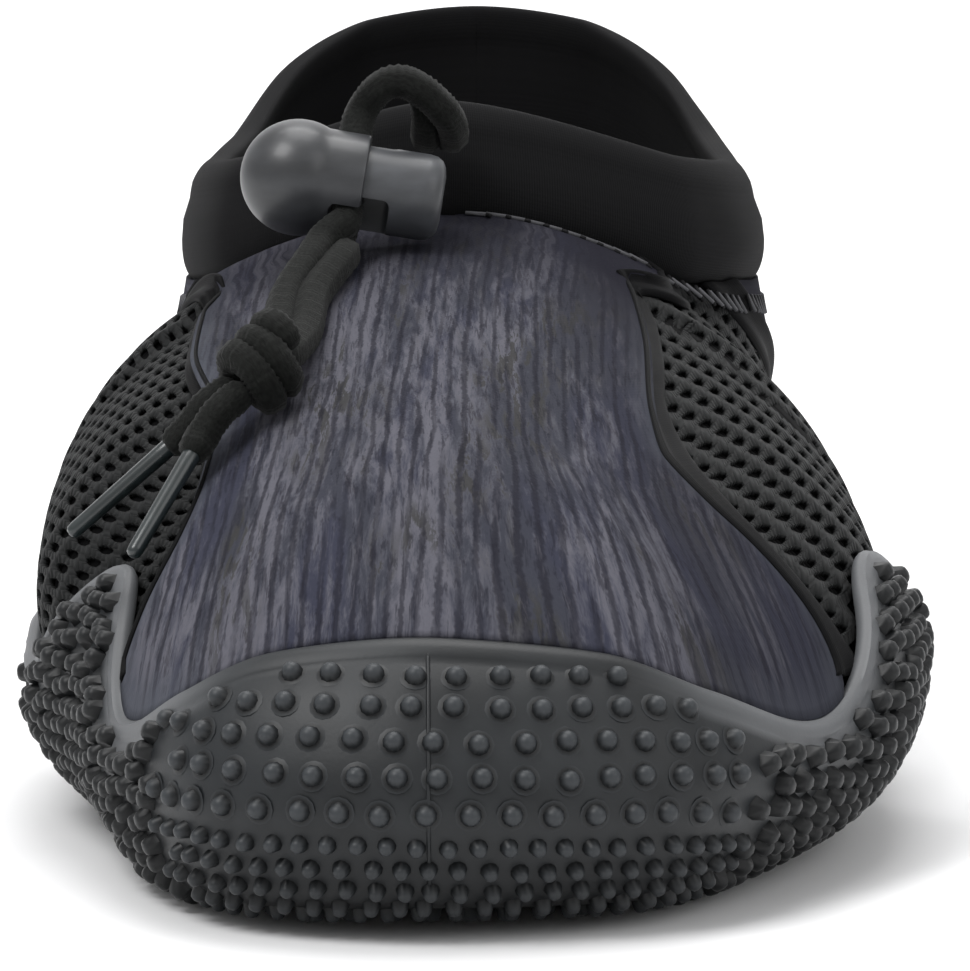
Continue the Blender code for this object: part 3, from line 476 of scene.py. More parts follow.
def soft_point(ring, share, distance):
    """Like offset_point, with the normal read over a wider stretch, so that it turns softly at the throat."""
    if share > ON_RIDGE:
        return offset_point(ring, share, distance)
    normal = sum((side_normal(ring + step, share) for step in SOFT_STEPS), Vector())
    return last_point(ring, share) + normal.normalized() * distance


def turning_place(low, high, before):
    """The place between low and high up to which before(place) holds."""
    for _ in range(30):
        middle = (low + high) / 2
        if before(middle):
            low = middle
        else:
            high = middle
    return low


def share_at_height(ring, height):
    """Where a meridian reaches a height. Heights rise all the way up it."""
    return turning_place(0.0, 1.0, lambda share: last_point(ring, share).z < height)


def share_below_crest(ring, distance):
    """The place on a meridian that lies this far below its crest."""
    top = last_point(ring, 1.0)
    return turning_place(WIDEST_SHARE, 1.0, lambda share: (last_point(ring, share) - top).length >= distance)


@lru_cache(maxsize=None)
def panel_top(ring):
    """Panels stop short of the collar seam, further where the wall lies flat."""
    upright = LEAN(ring) if row_of(ring) < THROAT_ROW else 0.0
    flat = max(0.0, math.cos(upright))
    return share_below_crest(ring, GAP + PANEL_SET_BACK * flat)


@lru_cache(maxsize=None)
def sole_share(ring):
    return share_at_height(ring, edge_height(ring))


@lru_cache(maxsize=None)
def above_sole(ring):
    return share_at_height(ring, edge_height(ring) + 2 * GAP)


EDGE_ROWS = {-1: track_of(VAMP_EDGE, "medial_row"), 1: track_of(VAMP_EDGE, "lateral_row")}
EDGE_SHARES = {-1: track_of(VAMP_EDGE, "medial_share"), 1: track_of(VAMP_EDGE, "lateral_share")}
FOOT_WAY = named(VAMP_EDGE, "foot").way
VAMP_RIDGE_ROWS = Track(VAMP_RIDGE)


def vamp_place(side, way, up):
    """Ring place and share of a point of the vamp panel: way runs from the collar to the toe, up from its edge."""
    low_row = EDGE_ROWS[side](way)
    start = EDGE_ROWS[side](0.0)
    if way < VAMP_THROAT_WAY - SAME:
        high_row = start + (VAMP_RIDGE_ROWS.values[0] - start) * way / VAMP_THROAT_WAY
    else:
        high_row = VAMP_RIDGE_ROWS(way)
    ring = ring_of(side, low_row + (high_row - low_row) * up)
    low = above_sole(ring_of(side, low_row))
    if way < FOOT_WAY:
        low = max(low, EDGE_SHARES[side](way))
    high = 1.0
    if way < VAMP_THROAT_WAY - SAME:
        high = max(low + 0.01, panel_top(ring))
    return ring, low + (high - low) * up


def sole_thickness(share_of_wall):
    """The cup's wall: thick under the foot, even up the side and thin at its edge."""
    side = BASE_THICKNESS + (SOLE_WALL - BASE_THICKNESS) * smooth_share(share_of_wall / 0.4)
    return side + (SOLE_EDGE - SOLE_WALL) * smooth_share((share_of_wall - 0.8) / 0.2)


@lru_cache(maxsize=None)
def seam_outward(ring):
    """The level direction out of the shoe, square to the collar seam."""
    along = collar_seam(ring + 0.02) - collar_seam(ring - 0.02)
    out = Vector((-along.y, along.x, 0)).normalized()
    middle = Vector((0, length_at(0.25), 0))
    return out if out.dot(in_plan(collar_seam(ring)) - middle) > 0 else -out


def collar_height(ring):
    heel_share = smooth_share(1 - row_of_collar(ring) / 3)
    return COLLAR_HEIGHT + COLLAR_HEEL_EXTRA * heel_share


def row_of_collar(ring):
    ring = ring % (2 * THROAT_ROW)
    return min(ring, 2 * THROAT_ROW - ring)


# Cord lock. Its axis runs from the round nose on the medial side to the button, and tips down a little. The
# cords cross it from the collar's side above to the toe's side below.
LOCK_SEAT = crest(LOCK_ROW)
LOCK_CENTRE = LOCK_SEAT + Vector((-LOCK_SIDE_SHIFT, 0, LOCK_HEIGHT))
LOCK_TILT = math.radians(9)
LOCK_ROLL = math.radians(-35)
LOCK_MATRIX = (
    Matrix.Translation(LOCK_CENTRE) @ Matrix.Rotation(LOCK_TILT, 4, "Y") @ Matrix.Rotation(LOCK_ROLL, 4, "X")
)
# The cords cross the button's slot at its inner end, so that the button can be pressed past them.
CORD_FROM_RIM = -CORD_DIAMETER / 2 - CORD_CLEARANCE
SLOT_DEPTH = 2 * CORD_DIAMETER + 3 * CORD_CLEARANCE


def in_lock(along, across, up):
    """A point given along the lock's axis, across it and up, in the shoe's own frame."""
    return LOCK_MATRIX @ Vector((along, across, up))


def fine_route(points, steps=12):
    """A Catmull-Rom curve through a route's points."""
    fine = []
    padded = [2 * points[0] - points[1], *points, 2 * points[-1] - points[-2]]
    for a, b, c, d in zip(padded, padded[1:], padded[2:], padded[3:]):
        for step in range(steps):
            fine.append(hermite(b, c, (c - a) / 2, (d - b) / 2, step / steps))
    return [*fine, points[-1]]


def evenly(fine, spacing):
    """Points at an even spacing along a finely drawn route."""
    total = sum((q - p).length for p, q in zip(fine, fine[1:]))
    count = max(2, round(total / spacing))
    route, walked, target = [fine[0]], 0.0, total / count
    for p, q in zip(fine, fine[1:]):
        step = (q - p).length
        while step > 0 and walked + step >= target and len(route) < count:
            route.append(p.lerp(q, (target - walked) / step))
            target += total / count
        walked += step
    return [*route, fine[-1]]


# The cord's loop from the collar's front to the lock, seen from the collar seam at the throat: how far towards
# the medial side, towards the toe and up.
Bend = namedtuple("Bend", "name medial forward up")
CORD_LOOP = (
    Bend("in collar", 0.7 * MM, 3.9 * MM, 10.9 * MM),
    Bend("out of collar", 0.5 * MM, 8.7 * MM, 11.6 * MM),
    Bend("rise", 0.7 * MM, 13.1 * MM, 14.2 * MM),
    Bend("top", 2.9 * MM, 15.1 * MM, 17.4 * MM),
    Bend("over", 6.5 * MM, 15.2 * MM, 18.2 * MM),
)

# Places of the cord's free end on the vamp and mesh: ring place, share of the meridian, height above the last.
Rest = namedtuple("Rest", "name ring share height")
CORD_RESTS = (
    Rest("below lock", 6.95, 0.872, 4.6 * MM),
    Rest("instep", 7.25, 0.838, 3.9 * MM),
    Rest("above knot", 7.62, 0.812, 4.1 * MM),
    Rest("knot", 8.15, 0.775, 7.2 * MM),
    Rest("tails", 8.05, 0.655, 5.6 * MM),
    Rest("back tip", 7.7, 0.50, 4.6 * MM),
    Rest("front tip", 8.3, 0.492, 4.2 * MM),
)


def resting(name):
    rest = named(CORD_RESTS, name)
    return offset_point(rest.ring, rest.share, rest.height)


def loop_point(name):
    bend = named(CORD_LOOP, name)
    return crest(THROAT_ROW) + Vector((-bend.medial, -bend.forward, bend.up))


def strand_pair():
    """The middle of the doubled cord, from the collar's front over its loop and through the lock to the knot,
    with the direction in which its two strands lie side by side."""
    across, forward, level = Vector((1, 0, 0)), Vector((0, -1, 0)), Vector((-1, 0, 0))
    knot = resting("knot")
    near_knot = resting("above knot")
    stop = knot + (near_knot - knot).normalized() * (KNOT_WIDTH / 2 + GAP)
    return [
        (loop_point("in collar"), across),
        (loop_point("out of collar"), across),
        (loop_point("rise"), across + forward),
        (loop_point("top"), forward),
        (loop_point("over"), forward),
        (in_lock(CORD_FROM_RIM - 0.2 * MM, 0, LOCK_RADIUS + 3.4 * MM), forward),
        (in_lock(CORD_FROM_RIM, 0, LOCK_RADIUS / 2), forward),
        (in_lock(CORD_FROM_RIM, 0, -LOCK_RADIUS / 2), forward),
        (in_lock(CORD_FROM_RIM, 0, -LOCK_RADIUS + 0.2 * MM), forward),
        (resting("below lock"), forward + 2 * level),
        (resting("instep"), level),
        (near_knot, level),
        (stop, level),
    ]


def strands():
    """Both strands, half a pitch to either side of the pair's middle and square to its run."""
    rows = strand_pair()
    middle = fine_route([point for point, way in rows])
    ways = fine_route([way.normalized() for point, way in rows])
    half = (CORD_DIAMETER + CORD_CLEARANCE) / 2
    pair = ([], [])
    for i, (point, way) in enumerate(zip(middle, ways)):
        run = (middle[min(i + 1, len(middle) - 1)] - middle[max(i - 1, 0)]).normalized()
        side = (way - run * way.dot(run)).normalized()
        pair[0].append(point + side * half)
        pair[1].append(point - side * half)
    return pair


# Names of the mesh layers, the distance at which points are merged, and the body that all but the button ride.
CHART = "cloth"
SHADE = "shade"
MERGE = 0.005 * MM
SHOE = "shoe"


def colour_setting(name, description, colour):
    return bpy.props.FloatVectorProperty(
        name=name, description=description, default=colour, size=3, subtype="COLOR", min=0.0, max=1.0
    )


def length_setting(name, description, value):
    return bpy.props.FloatProperty(name=name, description=description, default=value, unit="LENGTH", precision=5)


class ShoeSizes(bpy.types.PropertyGroup):
    """Sizes of the shoe's small details"""

    bumper_nub: length_setting("Bumper nub", "Width of a round nub on the toe bumper", 2.45 * MM)
    bumper_pitch: length_setting("Bumper pitch", "Distance between nubs on the toe bumper", 4.25 * MM)
    low_pitch: length_setting("Low pitch", "Distance between nubs low on the toe bumper", 2.95 * MM)
    side_nub: length_setting("Side nub", "Width of a nub on the sides of the sole", 2.9 * MM)
    side_pitch: length_setting("Side pitch", "Distance between nubs on the sides of the sole", 3.25 * MM)
    tread_pitch: length_setting("Tread pitch", "Distance between nubs under the sole", 3.9 * MM)
    border: length_setting("Border", "Smooth band along the top edge of the sole", 2.4 * MM)
    stitch_pitch: length_setting("Stitch pitch", "Distance between overlock stitches", 1.15 * MM)
    thread: length_setting("Thread", "Thickness of the overlock thread", 0.55 * MM)


class ShoeColours(bpy.types.PropertyGroup):
    """Base colours of the shoe's materials"""

    rubber: colour_setting("Rubber", "Moulded rubber of the sole", (0.0170, 0.0192, 0.0215))
    # The edge band's colour is partly its own tone and partly painted light where it faces up.
    edge_band_and_light: colour_setting("Rubber edge", "Smooth band along the sole's top edge", (0.105, 0.109, 0.115))
    print_base: colour_setting("Print base", "Ground of the printed cloth", (0.0375, 0.039, 0.0500))
    print_light: colour_setting("Print light", "Light streaks of the printed cloth", (0.096, 0.095, 0.113))
    print_dark: colour_setting("Print dark", "Dark streaks of the printed cloth", (0.0150, 0.0147, 0.0205))
    print_earth: colour_setting("Print earth", "Dull patches of the printed cloth", (0.034, 0.0335, 0.032))
    mesh: colour_setting("Mesh", "Threads of the open mesh", (0.0042, 0.0047, 0.0049))
    lining: colour_setting("Lining", "Knit under the mesh and inside the shoe", (0.0022, 0.0022, 0.0025))
    collar: colour_setting("Collar", "Padded band round the top edge", (0.0075, 0.0075, 0.0080))
    binding: colour_setting("Binding", "Smooth strips along the panels' edges", (0.0024, 0.0024, 0.0028))
    cord: colour_setting("Cord", "Elastic drawcord", (0.0052, 0.0057, 0.0051))
    lock: colour_setting("Cord lock", "Plastic of the cord lock", (0.026, 0.0275, 0.0305))
    tip: colour_setting("Cord tips", "Plastic of the cord's tips", (0.011, 0.016, 0.017))


class Value:
    """An output of a shader. Python's operators on it add Math nodes."""

    def __init__(self, shader, socket):
        self.shader = shader
        self.socket = socket

    def math(self, operation, a, b=0.0):
        return self.shader.node("ShaderNodeMath", {"operation": operation}, {0: a, 1: b})

    def __add__(self, other):
        return self.math("ADD", self, other)

    __radd__ = __add__

    def __sub__(self, other):
        return self.math("SUBTRACT", self, other)

    def __rsub__(self, other):
        return self.math("SUBTRACT", other, self)

    def __mul__(self, other):
        return self.math("MULTIPLY", self, other)

    __rmul__ = __mul__

    def sine(self):
        return self.math("SINE", self)

    def size(self):
        return self.math("ABSOLUTE", self)

    def rise(self, low, high):
        """Climbs smoothly from 0 at low to 1 at high."""
        return self.shader.node(
            "ShaderNodeMapRange",
            {"interpolation_type": "SMOOTHSTEP"},
            {"Value": self, "From Min": low, "From Max": high},
        )


class Shader:
    """A material with a Principled surface, and the nodes that feed it."""

    def __init__(self, name, colour, roughness, **constants):
        self.material = bpy.data.materials.new(name)
        self.material.use_nodes = True
        self.tree = self.material.node_tree
        self.surface = self.tree.nodes["Principled BSDF"]
        self.feed("Base Color", (*colour, 1.0))
        self.feed("Roughness", roughness)
        for name, value in constants.items():
            self.feed(name.replace("_", " ").title().replace("Ior", "IOR"), value)

    def link(self, socket, value):
        if isinstance(value, Value):
            self.tree.links.new(value.socket, socket)
        else:
            socket.default_value = value

    def feed(self, name, value):
        self.link(self.surface.inputs[name], value)

    def node(self, kind, settings=None, inputs=None, output=0):
        made = self.tree.nodes.new(kind)
        for key, value in (settings or {}).items():
            setattr(made, key, value)
        for key, value in (inputs or {}).items():
            self.link(made.inputs[key], value)
        return Value(self, made.outputs[output])

    def chart(self):
        """The piece's own cloth coordinates, in metres."""
        return self.node("ShaderNodeUVMap", {"uv_map": CHART})

    def shade(self):
        """The share of the second look that the piece carries."""
        return self.node("ShaderNodeAttribute", {"attribute_name": SHADE}, output="Fac")

    def space(self):
        return self.node("ShaderNodeTexCoord", output="Object")

    def scaled(self, vector, *scale):
        return self.node("ShaderNodeMapping", {"vector_type": "POINT"}, {"Vector": vector, "Scale": scale})

    def noise(self, vector, scale, detail=3.0, roughness=0.5, distortion=0.0):
        """Cloudy values round 0.5. scale is one number per direction, in features a metre."""
        return self.node(
            "ShaderNodeTexNoise",
            None,
            {
                "Vector": self.scaled(vector, *scale),
                "Scale": 1.0,
                "Detail": detail,
                "Roughness": roughness,
                "Distortion": distortion,
            },
        )

    def parts(self, vector):
        """The two cloth coordinates of a vector, each as a value."""
        kind = "ShaderNodeSeparateXYZ"
        return [self.node(kind, None, {"Vector": vector}, output=axis) for axis in ("X", "Y")]

    def mix(self, share, a, b, blend="MIX"):
        a, b = (x if isinstance(x, Value) else (*x, 1.0) for x in (a, b))
        settings = {"data_type": "RGBA", "blend_type": blend}
        return self.node("ShaderNodeMix", settings, {0: share, 6: a, 7: b}, output=2)

    def bump(self, height, distance, strength=1.0):
        inputs = {"Height": height, "Distance": distance, "Strength": strength}
        self.feed("Normal", self.node("ShaderNodeBump", None, inputs))


def toned(colour, *factors):
    """A colour made darker or lighter, by one factor or by one for each channel."""
    factors = factors if len(factors) == 3 else factors * 3
    return tuple(channel * factor for channel, factor in zip(colour, factors))


def colours():
    return bpy.context.scene.water_shoe_colours


def sizes():
    return bpy.context.scene.water_shoe_sizes


def print_cloth():
    """Printed stretch cloth, like the grain of weathered wood: wavy dark lines over ragged lengthwise patches, with
    painted shade towards the collar and towards the lateral side.
    """
    ink = colours()
    cloth = Shader("printed_cloth", ink.print_base, 0.8, specular_ior_level=0.03, sheen_weight=0.0)
    chart = cloth.chart()
    plain = cloth.shade()
    across, along = cloth.parts(chart)
    broad = cloth.noise(chart, (130, 13, 1), 3.0, 0.6, 0.4)
    ragged = cloth.noise(chart, (620, 85, 7), 5.0, 0.72, 0.4)
    fine = cloth.noise(chart, (1500, 150, 1), 4.0, 0.7, 0.4)
    violet = cloth.noise(chart, (110, 20, 11), 3.0, 0.55, 0.3)
    sway = cloth.noise(chart, (70, 24, 5), 2.0, 0.5)
    jitter = cloth.noise(chart, (1100, 900, 9), 2.0, 0.6)
    grain = (across * 4300 + along * 120 + sway * 13 + jitter * 2.4).sine() * 0.5 + 0.5
    drift = cloth.noise(chart, (420, 40, 13), 3.0, 0.6)
    middle = 1 - (across + 0.002).size().rise(0.006, 0.026)
    # lower climbs from 0 at the collar to 1 down the vamp; where it is low, the cloth takes painted shade from the
    # collar.
    lower = along.rise(-0.005, 0.060)
    light = (broad * 0.5 + ragged * 0.5 + middle * lower * 0.045).rise(0.47, 0.60)
    lines = grain.rise(0.48, 0.94) * drift.rise(0.33, 0.54) * (1 - plain * 0.8)
    blue = toned(ink.print_base, 0.86, 0.87, 1.06)
    pale = toned(ink.print_light, 0.86, 0.93, 0.92)
    colour = cloth.mix(violet.rise(0.46, 0.60) * 0.7, ink.print_base, blue)
    colour = cloth.mix(light * (1 - plain * 0.7), colour, ink.print_light)
    dull = ragged.rise(0.50, 0.56) * (1 - violet).rise(0.50, 0.60) * (1 - plain)
    colour = cloth.mix(dull * 0.85, colour, ink.print_earth)
    colour = cloth.mix(plain * 0.65, colour, pale)
    colour = cloth.mix(lines * 0.70, colour, ink.print_dark)
    colour = cloth.mix(fine.rise(0.52, 0.64) * (0.6 - plain * 0.4), colour, ink.print_dark)
    colour = cloth.mix((1 - fine).rise(0.57, 0.70) * (0.32 - plain * 0.25), colour, ink.print_light)
    # Painted shade: the cloth darkens towards the collar, where the collar's shade falls, and towards the lateral
    # side, where the light falls off.
    colour = cloth.mix((1 - lower) * 0.82 + across.rise(0.012, 0.026) * 0.50, colour, ink.print_dark)
    cloth.feed("Base Color", colour)
    cloth.feed("Roughness", 0.78 + fine * 0.1)
    knit = (across * 9000).sine() * (along * 7000).sine()
    cloth.bump(knit * 0.25 + fine * 0.6 - lines * 0.5, 0.10 * MM, 0.4)
    return cloth.material


def rubber():
    """Moulded rubber, uneven in gloss, with painted shade that darkens it towards the floor, and paler on the smooth
    band along its top edge, partly from the band's own tone and partly from painted light where it faces up.
    """
    made = Shader("moulded_rubber", colours().rubber, 0.5, specular_ior_level=0.32)
    space = made.space()
    cloud = made.noise(space, (70, 70, 70), 3.0)
    grain = made.noise(space, (2200, 2200, 2200), 2.0)
    level = made.node("ShaderNodeSeparateXYZ", None, {"Vector": space}, output="Z")
    # Painted shade: the rubber darkens towards the floor, unevenly.
    lit_share = (0.25 + cloud.rise(0.3, 0.7) * 0.75) * level.rise(0.001, 0.015)
    colour = made.mix(lit_share, toned(colours().rubber, 0.38), toned(colours().rubber, 1.02))
    # The paler band along the top edge: partly the band's own tone, partly painted light where it faces up.
    made.feed("Base Color", made.mix(made.shade() * (0.8 + cloud * 0.3), colour, colours().edge_band_and_light))
    made.feed("Roughness", 0.38 + cloud * 0.16)
    made.bump(grain, 0.03 * MM, 0.5)
    return made.material


def nub_rubber():
    """Rubber of the nubs, with painted shade in the corner round their feet and lower down the wall, and painted light
    on their tops.
    """
    made = Shader("nub_rubber", colours().rubber, 0.45, specular_ior_level=0.32)
    space = made.space()
    cloud = made.noise(space, (160, 160, 160), 3.0)
    level = made.node("ShaderNodeSeparateXYZ", None, {"Vector": space}, output="Z")
    # Painted light and shade: each nub is dark at its foot and pale on its top, and nubs lower down are darker.
    lit_share = made.shade().rise(0.1, 1.0) * (0.7 + cloud * 0.4) * (0.55 + level.rise(0.003, 0.014) * 0.45)
    made.feed("Base Color", made.mix(lit_share, toned(colours().rubber, 0.28), toned(colours().rubber, 1.9)))
    made.feed("Roughness", 0.38 + cloud * 0.16)
    made.bump(cloud, 0.03 * MM, 0.5)
    return made.material


def mesh_thread():
    """Knitted threads of the open mesh."""
    made = Shader("mesh_thread", colours().mesh, 0.6, specular_ior_level=0.13, sheen_weight=0.025)
    chart = made.chart()
    across, along = made.parts(chart)
    twist = (across * 6500 + along * 5200).sine() * 0.5 + 0.5
    fluff = made.noise(chart, (1800, 1800, 1), 3.0)
    dim, bright = toned(colours().mesh, 0.55), toned(colours().mesh, 1.7)
    made.feed("Base Color", made.mix(twist * 0.6 + fluff * 0.4, dim, bright))
    made.feed("Roughness", 0.6 + fluff * 0.25)
    made.bump(twist + fluff, 0.12 * MM, 0.7)
    return made.material


def knit(name, colour, ribs, rows, depth, gloss=0.75):
    """Fine stretch knit: ribs up the cloth crossed by rows of stitches. ribs and rows are stitches a metre."""
    made = Shader(name, colour, gloss, specular_ior_level=0.06, sheen_weight=0.01)
    chart = made.chart()
    across, along = made.parts(chart)
    rib = (across * (2 * math.pi * ribs)).sine().size()
    stitch = (along * (2 * math.pi * rows)).sine() * 0.5 + 0.5
    cloud = made.noise(chart, (90, 90, 1), 3.0)
    made.feed("Base Color", made.mix(rib * 0.5 + cloud * 0.5, toned(colour, 0.6), toned(colour, 1.45)))
    made.feed("Roughness", gloss - 0.1 + cloud * 0.2)
    made.bump(rib * 0.7 + stitch * 0.3, depth, 0.6)
    return made.material


def cord_cloth():
    """Braided elastic cord, slightly fluffy."""
    made = Shader("braided_cord", colours().cord, 0.8, specular_ior_level=0.12, sheen_weight=0.06)
    chart = made.chart()
    fluff = made.noise(chart, (3000, 1500, 1), 4.0, 0.65)
    dim, bright = toned(colours().cord, 0.5), toned(colours().cord, 2.0)
    made.feed("Base Color", made.mix(fluff.rise(0.3, 0.7), dim, bright))
    made.feed("Roughness", 0.7 + fluff * 0.2)
    made.bump(fluff, 0.15 * MM, 0.8)
    return made.material


def moulded(name, colour, gloss, coat):
    """Moulded plastic with faint flow marks."""
    made = Shader(name, colour, gloss, coat_weight=coat, coat_roughness=0.18)
    space = made.space()
    flow = made.noise(space, (160, 160, 420), 3.0)
    made.feed("Base Color", made.mix(flow.rise(0.3, 0.7), toned(colour, 0.82), toned(colour, 1.25)))
    made.feed("Roughness", gloss - 0.06 + flow * 0.12)
    made.bump(flow, 0.05 * MM, 0.35)
    return made.material


def stitch_thread(name, colour):
    made = Shader(name, colour, 0.7, specular_ior_level=0.2)
    space = made.space()
    twist = made.noise(space, (1500, 1500, 1500), 2.0)
    made.feed("Roughness", 0.6 + twist * 0.2)
    made.bump(twist, 0.1 * MM, 0.6)
    return made.material


def draped(columns, rows, place, chart, shade=None):
    """A grid whose points are moved to place(u, v). chart(u, v) gives their cloth coordinates in metres, and
    shade(u, v), from 0 to 1, where a second look takes over."""
    form = bmesh.new()
    bmesh.ops.create_grid(form, x_segments=columns, y_segments=rows, size=0.5)
    layer = form.loops.layers.uv.new(CHART)
    tone = form.verts.layers.float.new(SHADE) if shade else None
    spots = {vertex: (vertex.co.x + 0.5, vertex.co.y + 0.5) for vertex in form.verts}
    for face in form.faces:
        for loop in face.loops:
            loop[layer].uv = chart(*spots[loop.vert])
    for vertex, (u, v) in spots.items():
        vertex.co = place(u, v)
        if shade:
            vertex[tone] = shade(u, v)
    bmesh.ops.remove_doubles(form, verts=form.verts, dist=MERGE)
    bmesh.ops.dissolve_degenerate(form, dist=MERGE, edges=form.edges)
    form.normal_update()
    return form


def even_chart(width, height):
    """Cloth coordinates that run evenly over a sheet of this size."""
    return lambda u, v: (u * width, v * height)


def face_out(form, ring, share):
    """Turns an open sheet's faces away from the foot, going by the face nearest to a place on the last."""
    where = last_point(ring, share)
    face = min(form.faces, key=lambda f: (f.calc_center_median() - where).length)
    if face.normal.dot(last_normal(ring, share)) < 0:
        bmesh.ops.reverse_faces(form, faces=form.faces)


def mesh_from(form, name):
    """Turns a finished form into a mesh."""
    mesh = bpy.data.meshes.new(name)
    form.to_mesh(mesh)
    form.free()
    return mesh


def placed(name, data):
    """A new object of the scene that holds this data."""
    thing = bpy.data.objects.new(name, data)
    bpy.context.scene.collection.objects.link(thing)
    return thing


def add_piece(name, form, material, body=SHOE, replaces=(), sharp=None):
    """Makes a shaped form a piece of the shoe that rides on a body."""
    mesh = mesh_from(form, name)
    mesh.shade_smooth()
    if sharp is not None:
        mesh.set_sharp_from_angle(angle=math.radians(sharp))
    piece = placed(name, mesh)
    mesh.materials.append(material)
    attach(piece, body)
    if replaces:
        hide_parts(*replaces)
    return piece


def add_modifier(piece, kind, **settings):
    modifier = piece.modifiers.new(kind.title(), kind)
    for key, value in settings.items():
        setattr(modifier, key, value)
    return modifier


# Rubber cup.
RING_STEPS = 440
UNDER_SHARES = (0.0, 0.25, 0.5, 0.72, 0.88, 0.96)
WALL_FOOT = (0.0, 0.02, 0.05, 0.09, 0.14, 0.2, 0.27, 0.35, 0.43, 0.51)
WALL_HEAD = (0.59, 0.67, 0.75, 0.82, 0.88, 0.92, 0.935, 0.945, 0.955, 0.975, 1.0)
WALL_SHARES = WALL_FOOT + WALL_HEAD
RIM_TURNS = (18, 45, 72, 90, 108, 135, 162)
INNER_SHARES = (1.0, 0.9, 0.75, 0.6, 0.4, 0.2, 0.0)
RIM_RISE = 0.7 * MM
MOULD_LINE = 0.22 * MM
LIP = 0.3 * MM
LIP_START = 0.935
# The paler band along the top edge, partly the band's own tone and partly painted light where it faces up: its full
# width and the stretch below over which it fades, the row where it starts to fade beside the bumper with the rows that
# this takes, and its tone on the rim.
BAND_WIDTH, BAND_SOFT = 1.8 * MM, 1.4 * MM
BAND_END, BAND_FADE = 9.3, 0.9
RIM_TONE = 0.8


def sole_underside(ring, share, height, distance):
    edge = offset_point(ring, 0.0, distance)
    middle = spine(ring)
    middle.z = height + lift(ring, 0.0)
    return middle.lerp(edge, share)


def wall_way(ring, share):
    """The direction up the meridian."""
    return (last_point(ring, min(1.0, share + 0.01)) - last_point(ring, max(0.0, share - 0.01))).normalized()


def sole_skin(ring, climbed):
    """A point of the cup's outside, climbed being 0 at its foot and 1 at its top edge."""
    top = sole_share(ring)
    swell = 0.25 * MM * noise.noise(last_point(ring, top * climbed) * 45)
    swell += LIP * smooth_share((climbed - LIP_START) / 0.02)
    return offset_point(ring, top * climbed, SOLE_GAP + sole_thickness(climbed) + swell)


def sole_rows():
    """The cup's profile from the spine underneath, up the wall, over the rim and down inside."""
    rows = [("under", share) for share in UNDER_SHARES]
    rows += [("wall", share) for share in WALL_SHARES]
    rows += [("rim", math.radians(turn)) for turn in RIM_TURNS]
    rows += [("inner", share) for share in INNER_SHARES]
    return rows + [("bed", 0.0)]


def sole_point(ring, kind, amount):
    if kind == "under":
        return sole_underside(ring, amount, NUB_HEIGHT, SOLE_GAP + BASE_THICKNESS)
    if kind == "wall":
        return sole_skin(ring, amount)
    if kind == "bed":
        return sole_underside(ring, 0.0, FLOOR_OF_CUP, SOLE_GAP)
    top = sole_share(ring)
    if kind == "inner":
        return offset_point(ring, top * amount, SOLE_GAP)
    middle = SOLE_GAP + SOLE_EDGE / 2
    edge = offset_point(ring, top, middle + SOLE_EDGE / 2 * math.cos(amount))
    return edge + wall_way(ring, top) * RIM_RISE * math.sin(amount)


def build_cup():
    rows = sole_rows()

    def place(u, v):
        return sole_point(u * RING_LENGTH, *rows[round(v * (len(rows) - 1))])

    # Where the paler band lies: partly its own tone, partly painted light on the upturned wall top and rim.
    def shade(u, v):
        ring = u * RING_LENGTH
        kind, amount = rows[round(v * (len(rows) - 1))]
        beside = 1 - smooth_share((row_of(ring) - BAND_END) / BAND_FADE)
        if kind == "rim":
            return beside * RIM_TONE
        if kind != "wall":
            return 0.0
        below = (1 - amount) * wall_height(ring)
        return beside * (1 - smooth_share((below - BAND_WIDTH) / BAND_SOFT))

    form = draped(RING_STEPS, len(rows) - 1, place, even_chart(0.6, 0.06), shade)
    bmesh.ops.recalc_face_normals(form, faces=form.faces)
    add_piece("sole_cup", form, rubber(), replaces=["outsole"], sharp=60)


# Nubs. A zone is a field of them: its first and last place on the ring, its lowest and highest level up the wall,
# and each nub's width, pitch, height, width of the top as a share, and rounding as a share of the width.
Zone = namedtuple("Zone", "name start end low high width pitch height top rounding")
# How a field of nubs is laid: corners of each nub, the strength of the painted light on its top, how far it may stray,
# and how the pitch is stretched along and up the wall.
Manner = namedtuple("Manner", "segments paleness stray along up")
WALL_SAMPLES = 28
# Rows of nubs lie this share of the pitch apart, as in a triangular grid.
STAGGERED = 0.866
NEAT = Manner(10, 1.0, 0.4, 1.0, STAGGERED)
DENSE = Manner(6, 0.32, 1.1, 1.18, 0.74)


@lru_cache(maxsize=None)
def wall_lengths(ring):
    """Climbed shares up the cup's wall with the length walked to each."""
    shares = [step / WALL_SAMPLES for step in range(WALL_SAMPLES + 1)]
    walks = walk(sole_skin(ring, climbed) for climbed in shares)
    return [(walked, climbed) for (walked, _), climbed in zip(walks, shares)]


def lengths_near(ring):
    """The wall's lengths at the nearest twentieth of a row, so that they are worked out only once there."""
    return wall_lengths(round(ring * 20) / 20)


def wall_height(ring):
    """The whole length up the cup's wall."""
    return lengths_near(ring)[-1][0]


def climbed_at(ring, distance):
    marks = lengths_near(ring)
    for (a, low), (b, high) in zip(marks, marks[1:]):
        if distance <= b:
            return low + (high - low) * (distance - a) / (b - a)
    return 1.0


def skin_normal(ring, climbed):
    along = sole_skin(ring + 0.01, climbed) - sole_skin(ring - 0.01, climbed)
    upward = sole_skin(ring, min(1.0, climbed + 0.01)) - sole_skin(ring, max(0.0, climbed - 0.01))
    return along.cross(upward).normalized()


